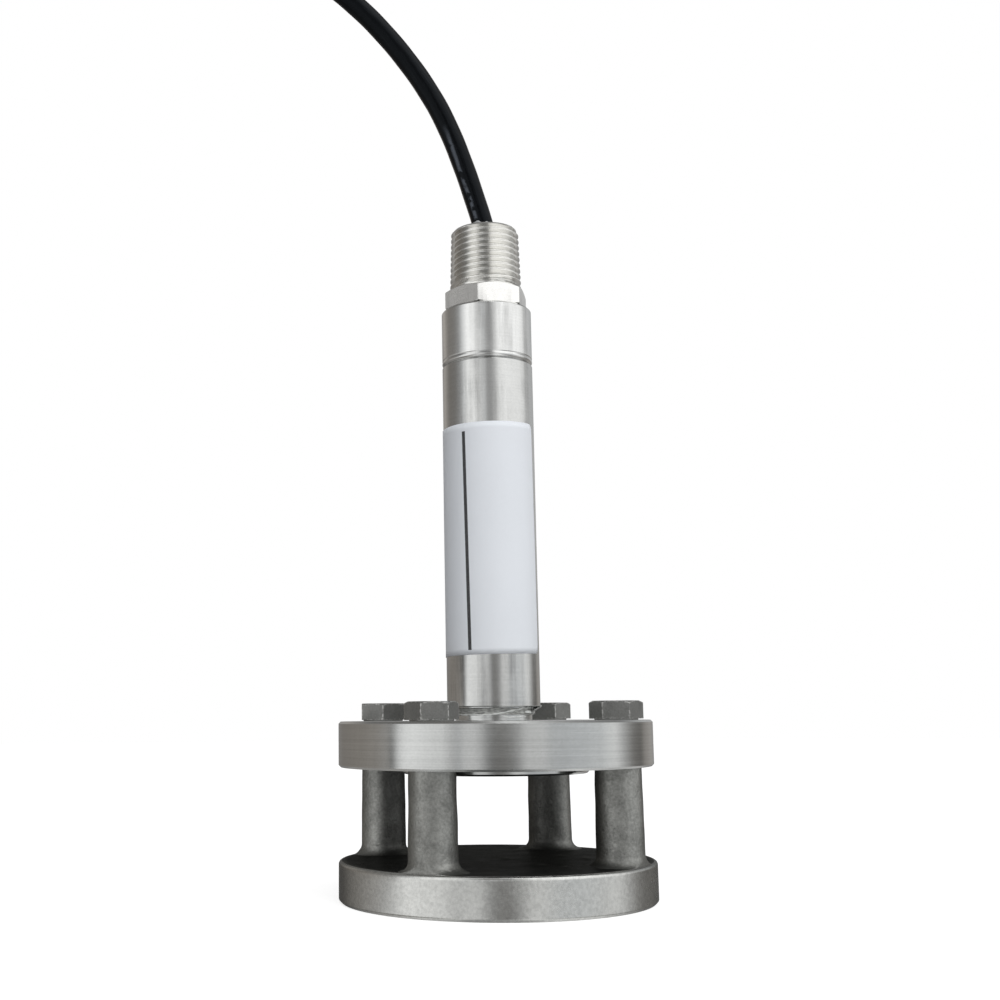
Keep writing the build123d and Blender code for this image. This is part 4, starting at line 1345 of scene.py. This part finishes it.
@dataclass
class SensorHousing:
    """Tube with its cap and label, and the seal tape that shows under it."""

    segments: int = 160
    tube_radius: float = 13.3
    tube_wall: float = 1.6
    tube_bottom: float = 53.3
    tube_top: float = 153.3
    tube_wave: float = 0.006
    cap_top: float = 170.2
    cap_bore: float = 7.0
    cap_spigot: float = 11.6
    spigot_length: float = 6.8
    mouth_radius: float = 9.05
    mouth_depth: float = 9.2
    lip_height: float = 1.6
    lip_drop: float = 0.3
    label_radius: float = 13.35
    label_bottom: float = 67.85
    label_height: float = 66.25
    label_tilt: float = 0.9
    label_start: float = -261.0
    label_arc: float = 240.0
    label_corner: float = 1.6
    label_sheet: float = 0.12
    label_wave: float = 0.012
    label_rim: float = 0.03
    tape_radius: float = 11.32
    tape_film: float = 0.07
    tape_gap: float = 0.05
    tape_wrinkle: float = 0.035

    def tube(self, finishes: Finishes) -> None:
        """Turn the tube, with both edges broken and a faint waviness from polishing."""
        r, low, high = self.tube_radius, self.tube_bottom, self.tube_top
        bore = r - self.tube_wall
        profile = divided(soften([
            (bore, low, 0), (r - 0.2, low, 0.08), (r, low + 0.2, 0.1), (r, high - 0.55, 0.15),
            (r - 0.55, high, 0.05), (bore, high, 0), (bore, low, 0)]), 1.5)
        grid = turned(profile, self.segments)
        outside = np.hypot(grid[..., 0], grid[..., 1]) > r - 0.1
        wave = 1 + self.tube_wave / r * ripple_round(grid, 1.4, 55, 7) * outside
        grid[..., :2] *= wave[..., None]
        place(Shell("housing_tube_brushed").add(grid).mesh(), finishes["tube_steel"],
              Slot.TUBE, "housing_tube")

    def cap(self, finishes: Finishes) -> None:
        """Turn the cap, with a rounded bead between two fine grooves over the tube."""
        r, low, high = self.tube_radius, self.tube_top, self.cap_top
        end, floor = low - self.spigot_length, high - self.mouth_depth
        lip = low + self.lip_height
        profile = divided(soften([
            (self.cap_bore, end, 0), (self.cap_spigot, end, 0.2), (self.cap_spigot, low, 0),
            (r - self.lip_drop - 0.25, low + 0.02, 0.05),
            (r + 0.02, low + 0.62, 0.3), (r + 0.02, low + 1.12, 0.25), (r - 0.15, lip, 0.06),
            (r, lip + 0.24, 0.06), (r, high - 0.7, 0.15), (r - 0.7, high, 0.15),
            (self.mouth_radius, high, 0), (self.mouth_radius, floor, 0),
            (self.cap_bore, floor, 0), (self.cap_bore, end, 0)]), 1.5)
        place(Shell("top_cap_turned").add(turned(profile, self.segments)).mesh(),
              finishes["cap_steel"], Slot.TUBE, "top_cap")

    def label(self, finishes: Finishes) -> None:
        """Wrap the label: a grid of arc and height whose corners are rounded.

        A column at distance d from an end of the label, less than the corner radius c,
        is shorter at each end by c - sqrt(c c - (c - d) (c - d)). The whole grid is turned
        a little about the middle of the front, because the label was stuck on by hand.
        """
        length = math.radians(self.label_arc) * self.label_radius
        corner = self.label_corner
        bend = np.linspace(0, math.pi / 2, 8)
        ends = np.concatenate((corner * (1 - np.cos(bend)),
                               np.linspace(corner, length - corner, 120)[1:-1],
                               length - corner * (1 - np.sin(bend))))
        inset = np.minimum(ends, length - ends).clip(0, corner)
        short = corner - np.sqrt(corner ** 2 - (corner - inset) ** 2)
        share = np.linspace(0, 1, 40)[:, None]
        height = short + (self.label_height - 2 * short) * share
        along = np.broadcast_to(ends, height.shape)
        tilt = math.radians(self.label_tilt)
        front = math.radians(FRONT - self.label_start) * self.label_radius
        across, up = along - front, height - self.label_height / 2
        level = self.label_height / 2 + across * math.sin(tilt) + up * math.cos(tilt)
        angle = math.radians(FRONT) + (across * math.cos(tilt)
                                       - up * math.sin(tilt)) / self.label_radius
        lift = self.label_wave * ripple(along / 14, height / 14, 3)
        rim = np.minimum(inset, np.minimum(height, self.label_height - height))
        radius = (self.label_radius + self.label_wave + np.abs(lift)
                  + self.label_rim * np.exp(-rim / 0.5))
        grid = polar(radius, angle, self.label_bottom + level)
        uv = np.stack((along, height), -1)
        mesh = Shell("label_sheet").add(grid, wrap_columns=False, uv=uv).mesh(closed=False)
        thicken(place(mesh, finishes["label_paper"], Slot.LABEL, "id_label"),
                self.label_sheet)

    def tape_sheet(self, name: str, angles: tuple[float, float], heights: tuple[float, float],
                   out: tuple[float, float], seed: int, finish: bpy.types.Material,
                   rise: float = 0.0) -> None:
        """Lay one layer of seal tape round the collar, with wandering edges and wrinkles.

        The radius goes from the first distance off the collar at the lower edge to the
        second at the upper one, and wrinkles by a smooth field. A film has its thickness.

        Args:
            name: name of the piece.
            angles: first and last angle from the front towards the right, in degrees.
            heights: lower and upper edge.
            out: distance off the collar at the lower and the upper edge.
            seed: start of the random unevenness.
            finish: material of the tape.
            rise: how much higher the last end lies than the first.
        """
        sweep = angles[1] - angles[0]
        along = np.linspace(0, 1, max(20, int(sweep / 1.6)))
        share = np.linspace(0, 1, 10)[:, None]
        angle = np.radians(angles[0] + sweep * along + FRONT)
        low = heights[0] + 0.07 * ripple(along * sweep / 30, 0 * along, seed)
        high = heights[1] + 0.05 * ripple(along * sweep / 34, 0 * along, seed + 1)
        ends = np.clip(np.minimum(along, 1 - along) * sweep / 5 + 0.25, 0, 1)
        middle, half = (low + high) / 2, (high - low) / 2 * ends
        height = middle + half * (2 * share - 1) + rise * (along - 0.5)
        wrinkle = ripple(along * sweep / 11 + 0 * share, height * 0.8, seed + 2)
        radius = (self.tape_radius + out[0] + (out[1] - out[0]) * share
                  + self.tape_wrinkle * wrinkle + self.tape_gap)
        grid = polar(radius, angle, height)
        mesh = Shell(name).add(grid, wrap_columns=False).mesh(closed=False)
        replaced = ("seal_tape",) if out[0] == 0 else ()
        thicken(place(mesh, finish, Slot.TAPE, *replaced), self.tape_film)

    def tape_roll(self, name: str, places: tuple[tuple[float, float, float], ...],
                  seed: int, finish: bpy.types.Material) -> None:
        """Roll an edge of the tape into a thin uneven cord.

        The cord follows angle, height and thickness, read between the given places on a
        smoothed line. Its section is a flattened circle that swells and shrinks.

        Args:
            name: name of the piece.
            places: angle from the front, height and half thickness along the cord.
            seed: start of the random unevenness.
            finish: material of the tape.
        """
        marks = np.array(places)
        steps = np.linspace(marks[0, 0], marks[-1, 0], 220)
        height, size = (np.interp(steps, marks[:, 0], marks[:, at]) for at in (1, 2))
        soft = np.hanning(25) / np.hanning(25).sum()
        height = np.convolve(np.pad(height, 12, mode="edge"), soft, mode="valid")
        size = size * (1 + 0.3 * ripple(steps / 9, 0 * steps, seed))
        height = height + 0.03 * ripple(steps / 12, 0 * steps, seed + 1)
        turn = np.linspace(0, FULL_TURN, 12, endpoint=False)
        middle = self.tape_radius + 0.16 + 0.05 * ripple(steps / 14, 0 * steps, seed + 2)
        grid = polar(middle[:, None] + 0.8 * size[:, None] * np.cos(turn),
                     np.radians(steps + FRONT)[:, None],
                     height[:, None] + size[:, None] * np.sin(turn))
        mesh = Shell(name).add(capped(grid, grid[0].mean(0), grid[-1].mean(0))).mesh()
        place(mesh, finish, Slot.TAPE)

    def tape(self, finishes: Finishes) -> None:
        """Wind the seal tape: a film round the collar, its rolled edge and a loose end."""
        film, pale = finishes["thread_tape"], finishes["tape_edge"]
        self.tape_sheet("seal_tape_film", (-175.0, 178.0), (51.1, 53.1), (0.0, 0.0), 5, film)
        self.tape_sheet("seal_tape_wrap", (30.0, 118.0), (51.35, 52.35), (0.3, 0.22), 12, film)
        self.tape_sheet("seal_tape_fold", (46.0, 62.0), (51.45, 52.15), (0.6, 0.5), 17, pale)
        self.tape_sheet("seal_tape_flap", (60.0, 104.0), (52.3, 53.4), (0.5, 2.2), 23, film,
                        1.1)
        self.tape_roll("seal_tape_edge", (
            (-178.0, 51.3, 0.16), (-95.0, 51.12, 0.19), (-10.0, 51.15, 0.2), (8.0, 51.4, 0.22),
            (30.0, 52.4, 0.3), (48.0, 53.0, 0.24), (95.0, 52.95, 0.2), (150.0, 52.9, 0.1)),
            31, pale)
        self.tape_roll("seal_tape_thread", (
            (12.0, 50.42, 0.06), (22.0, 50.4, 0.14), (40.0, 50.45, 0.15), (52.0, 50.6, 0.05)),
            37, pale)

    def build(self, finishes: Finishes) -> None:
        """Make the housing's pieces."""
        self.tube(finishes)
        self.cap(finishes)
        self.label(finishes)
        self.tape(finishes)


@dataclass
class ConduitFitting:
    """Hexagon with a taper pipe thread, and the sealing compound in its mouth."""

    hex_flats: float = 22.2
    hex_bottom: float = 170.2
    hex_top: float = 176.3
    hex_turn: float = 20.0
    hex_lower_cut: float = 0.3
    hex_edge: float = 0.12
    stub_radius: float = 9.0
    stub_bottom: float = 161.5
    thread_top: float = 195.2
    thread_radius: float = 10.67
    taper: float = 1 / 32
    pitch: float = 1.814
    depth: float = 1.28
    relief: float = 0.55
    neck_height: float = 0.85
    run_out: float = 3.6
    lead_in: float = 0.75
    per_turn: int = 96
    mouth_radius: float = 7.6
    potting_top: float = 195.0
    potting_depth: float = 5.0
    cable_radius: float = 3.2
    climb: float = 3.1
    climb_side: float = 222.0
    cable_lean: float = 14.0

    def hexagon(self, finishes: Finishes) -> None:
        """Mill the hexagon, with the stub that sits in the cap."""
        shell = Shell("conduit_hexagon")
        add_hexagon(shell, self.hex_flats, self.hex_bottom, self.hex_top, self.hex_turn,
                    lower_cut=self.hex_lower_cut)
        end, seat = self.stub_bottom, self.hex_bottom + 0.1
        shell.add(turned(np.array([(0.0, end), (self.stub_radius, end),
                                   (self.stub_radius, seat), (0.0, seat)]), 96))
        break_edges(place(shell.mesh(sharp=WORKED_EDGE), finishes["milled_steel"],
                          Slot.TURNED, "conduit_fitting"), self.hex_edge)

    def thread(self, finishes: Finishes) -> None:
        """Cut the taper thread as one helical strip.

        The strip runs round with the angle t at height z0 + p t / 2 pi, and across it the
        profile goes from root to crest and back over one pitch p. The radius is the
        taper's at that height less the profile's depth, and never more than the blank's.
        Points past either end are drawn in to it.
        """
        start, end = self.hex_top - 0.05, self.thread_top
        turns = math.ceil((end - start) / self.pitch) + 2
        angle = np.linspace(0, FULL_TURN * turns, turns * self.per_turn + 1)
        share = np.array([0.0, 0.05, 0.16, 0.27, 0.38, 0.445, 0.47, 0.5, 0.53, 0.555, 0.62,
                          0.73, 0.84, 0.95, 1.0])[:, None]
        crest = np.clip((0.5 - np.abs(share - 0.5) - 0.05) / 0.39, 0, 1)
        height = start - self.pitch + self.pitch * (angle / FULL_TURN + share)
        level = np.clip(height, start, end)
        blank = self.thread_radius - (level - self.hex_top) * self.taper
        shallow = np.clip((self.hex_top + self.run_out - level) / 3.0, 0, 1)
        radius = blank - self.depth * (1 - crest) * (1 - 0.55 * shallow)
        relief = np.clip((self.hex_top + self.neck_height - level) / 0.25, 0, 1)
        neck = self.thread_radius - self.relief
        radius = radius * (1 - relief) + neck * relief
        tip = self.thread_radius - (end - self.hex_top) * self.taper - self.lead_in
        radius = np.minimum(radius, tip + (end - level) * 0.95)
        radius = np.where(height > end, tip, radius)
        shell = Shell("taper_thread").add(polar(radius, angle, level), wrap_columns=False)
        mouth, floor = self.mouth_radius, self.potting_top - self.potting_depth - 1
        shell.add(turned(soften([(tip, end, 0), (mouth + 0.25, end, 0.15),
                                 (mouth, end - 0.3, 0.15), (mouth, floor, 0),
                                 (0.0, floor, 0)]), self.per_turn))
        shell.add(turned(np.array([(neck, start), (0.0, start)]), self.per_turn))
        place(shell.mesh(sharp=28), finishes["thread_steel"], Slot.TURNED)

    def sealant(self, finishes: Finishes) -> None:
        """Fill the mouth: flat at the wall, and drawn up round the foot of the cable.

        The height above the flat part falls as the square of the distance from the cable,
        and is uneven round it.
        """
        angle = np.linspace(0, FULL_TURN, 72, endpoint=False)
        share = np.linspace(0, 1, 14)[:, None]
        outer, inner = self.mouth_radius - 0.04, self.cable_radius - 0.5
        uneven = ripple(np.cos(angle) * 0.8, np.sin(angle) * 0.8, 31)
        climb = (self.climb + 0.4 * uneven
                 + 1.5 * np.cos(angle - math.radians(self.climb_side)))
        height = self.potting_top - 0.5 + climb * share ** 2.2
        lean = (np.clip(height - self.potting_top, 0, 3)
                * math.tan(math.radians(self.cable_lean)))
        top = polar(outer + (inner - outer) * share, angle, height)
        top -= lean[..., None] * (0.9, 0.45, 0.0)
        low = self.potting_top - self.potting_depth
        base = turned(np.array([(inner - 0.4, low), (outer, low)]), 72)
        shell = Shell("cable_sealant").add(np.concatenate((base, top)), wrap_rows=True)
        place(shell.mesh(sharp=50), finishes["sealant"], Slot.SEALANT, "potting_plug")

    def build(self, finishes: Finishes) -> None:
        """Make the fitting's pieces."""
        self.hexagon(finishes)
        self.thread(finishes)
        self.sealant(finishes)


# ---------------------------------------------------------------- bolts and cage


@dataclass
class CageCasting:
    """Foot plate with four posts, cast in one piece, and the bolts into the posts."""

    foot_radius: float = 44.45
    foot_top: float = 11.1
    foot_rim: float = 2.0
    foot_segments: int = 192
    post_circle: float = 36.95
    post_turn: float = -26.1
    post_top_radius: float = 6.3
    post_foot_radius: float = 6.55
    post_top: float = 36.8
    flare: float = 2.8
    flare_rim: float = 43.55
    flange_top: float = 49.5
    head_flats: float = 12.7
    head_height: float = 5.2
    head_edge: float = 0.14
    head_turns: tuple[float, ...] = (55.0, 48.0, 35.0, 10.0)
    washer_radius: float = 5.9
    shank_radius: float = 3.95
    shank_length: float = 29.7
    pads: tuple[tuple[float, float], ...] = (
        (2.5, -0.5), (6.3, 24.9), (12.2, -15.3), (18.4, 8.7), (18.1, -21.0), (24.5, 0.5))
    pad_height: float = 0.42
    pad_radius: float = 1.15
    plate_roll: float = 0.07
    post_roll: float = 0.05

    def post_places(self) -> list[tuple[float, float]]:
        """Plan places of the four posts."""
        angles = [math.radians(self.post_turn + 90 * number) for number in range(4)]
        return [(self.post_circle * math.cos(a), self.post_circle * math.sin(a))
                for a in angles]

    def plate(self) -> Shell:
        """Foot plate: turned rim, and a top that rolls gently as a casting does and carries
        painted shade.
        """
        r, top = self.foot_radius, self.foot_top
        profile = divided(soften([
            (0.0, 0.0, 0), (r - 0.8, 0.0, 0.15), (r, 0.8, 0.2), (r, top, 1.1),
            (0.0, top, 0)], 8), 1.6)
        grid = turned(profile, self.foot_segments)
        x, y, z = np.moveaxis(grid, -1, 0)
        reach = np.hypot(x, y)
        inside = r - self.foot_rim - reach
        on_top = (z > top - 0.01) & (inside > 0)
        fade = np.clip(inside / 3.0, 0, 1) * on_top
        grid[..., 2] += self.plate_roll * ripple(x / 11, y / 11, 41) * fade
        # Painted shade: the plate's top inside its rim is darkened as if in the flange's
        # shadow; the pads are kept out of it, so they stand out lighter as painted highlights.
        inner = 0.92 * np.clip((r - 0.4 - reach) / 1.2, 0, 1) * (z > top - 0.5)
        for px, py in self.pads:
            distance = np.hypot(x - px, y - py)
            bump = np.exp(-(distance / self.pad_radius) ** 4)
            grid[..., 2] += self.pad_height * bump * on_top
            unshaded_pad = np.exp(-(distance / (self.pad_radius + 0.1)) ** 4)
            inner = inner - 0.55 * unshaded_pad * on_top
        return Shell("cast_cage").add(grid, edge=inner)

    def post(self, shell: Shell, centre: tuple[float, float], seed: int) -> None:
        """Add a post with its flared foot, painted darker on the sides that face into the
        cage.

        Past the plate's turned rim the flare is drawn in to it, along the plate's radius.

        Args:
            shell: shell to add to.
            centre: plan place of the post's axis.
            seed: start of the random unevenness.
        """
        foot, flare, low = self.post_foot_radius, self.flare, self.foot_top
        arc = np.radians(np.linspace(0, 90, 10))
        curve = np.stack((foot + flare * (1 - np.sin(arc)), low + flare * (1 - np.cos(arc))),
                         -1)
        profile = np.vstack(([(0.0, low - 2.0), (foot + flare, low - 2.0),
                              (foot + flare + 0.3, low - 0.02)], curve,
                             [(self.post_top_radius, self.post_top), (0.0, self.post_top)]))
        grid = turned(divided(profile, 1.2), 72)
        x, y, z = np.moveaxis(grid, -1, 0)
        angle, radius = np.arctan2(y, x), np.hypot(x, y)
        middle = (radius > 4) & (z < self.post_top - 0.5)
        uneven = self.post_roll * ripple_round(grid, 0.9, 12, seed) * middle
        grid[..., :2] *= (1 + uneven / np.maximum(radius, 1))[..., None]
        grid[..., :2] += centre
        reach = np.maximum(np.hypot(x, y), 1)
        grid[..., :2] *= np.minimum(1, self.flare_rim / reach)[..., None]
        # Painted shade: the sides of the post that face into the cage are darkened.
        outward = (np.cos(angle) * centre[0] + np.sin(angle) * centre[1]) / self.post_circle
        shell.add(grid, edge=0.7 * eased(np.clip((-0.1 - outward) / 0.6, 0, 1)))

    def bolts(self, finishes: Finishes) -> None:
        """Forge the bolts: hexagon head over a thin washer face, and a plain shank."""
        shell = Shell("flange_bolts_worn")
        low, end = self.flange_top, self.flange_top - self.shank_length
        face = low + 0.5
        profile = np.array([(0.0, face), (self.washer_radius, face), (self.washer_radius, low),
                            (self.shank_radius, low), (self.shank_radius, end), (0.0, end)])
        for centre, turn in zip(self.post_places(), self.head_turns):
            add_hexagon(shell, self.head_flats, low + 0.35, low + self.head_height, turn,
                        centre, 0.0)
            shank = turned(profile, 48)
            shank[..., :2] += centre
            shell.add(shank)
        piece = place(shell.mesh(sharp=WORKED_EDGE), finishes["bolt_steel"], Slot.BOLT,
                      "flange_bolts")
        piece.visible_glossy = False
        break_edges(piece, self.head_edge)

    def build(self, finishes: Finishes) -> None:
        """Make the casting and the bolts."""
        shell = self.plate()
        for number, centre in enumerate(self.post_places()):
            self.post(shell, centre, 50 + number)
        place(shell.mesh(), finishes["cast_steel"], Slot.CAST, "protection_cage")
        self.bolts(finishes)


# Finish of each CAD node that stays, most of them inside the housing.
KEPT_NODES = {
    "turned_steel": ("upper_flange", "sensor_nose", "capsule_retaining_ring",
                     "gland_washer", "clamp_washer"),
    "thin_steel": ("sensing_diaphragm",),
    "capsule_steel": ("sensor_capsule",),
    "crimp_metal": ("crimp_ferrule",),
    "nitrile": ("capsule_o_ring", "cap_o_ring", "cable_grommet"),
    "jacket": ("cable_entry",),
    "white_plastic": ("lower_board_clip", "upper_board_clip", "board_standoffs"),
    "board_laminate": ("signal_board", "surge_board"),
    "black_plastic": ("amplifier_chip", "terminal_block", "smoothing_capacitor"),
    "blue_plastic": ("span_trimmers",),
    "ceramic": ("surge_arrester",),
    "red_insulation": ("inner_lead_red",),
    "black_insulation": ("inner_lead_black",),
    "clear_tube": ("inner_vent_tube",),
}


def dress_kept_nodes(nodes: dict[str, bpy.types.Object], finishes: Finishes) -> None:
    """Give the CAD nodes that stay their materials.

    Args:
        nodes: the frame's CAD nodes by name.
        finishes: the scene's materials.
    """
    for finish, names in KEPT_NODES.items():
        for name in names:
            for slot in nodes[name].material_slots:
                slot.material = finishes[finish]
        LOG.info("%s on %s", finish, ", ".join(names))


def main() -> None:
    """Build the object in its studio, the camera and the cable first."""
    logging.basicConfig(level=logging.INFO, format="%(message)s")
    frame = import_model()
    studio = Studio()
    studio.camera()
    effects = Effects()
    finishes = {finish.name: finish.material(effects) for finish in FINISHES}
    for piece in (VentedCable(), CageCasting(), SensorHousing(), ConduitFitting()):
        piece.build(finishes)
    dress_kept_nodes(frame["nodes"], finishes)
    studio.build()
    bpy.context.scene.view_settings.view_transform = "Standard"


if __name__ == "__main__":
    main()
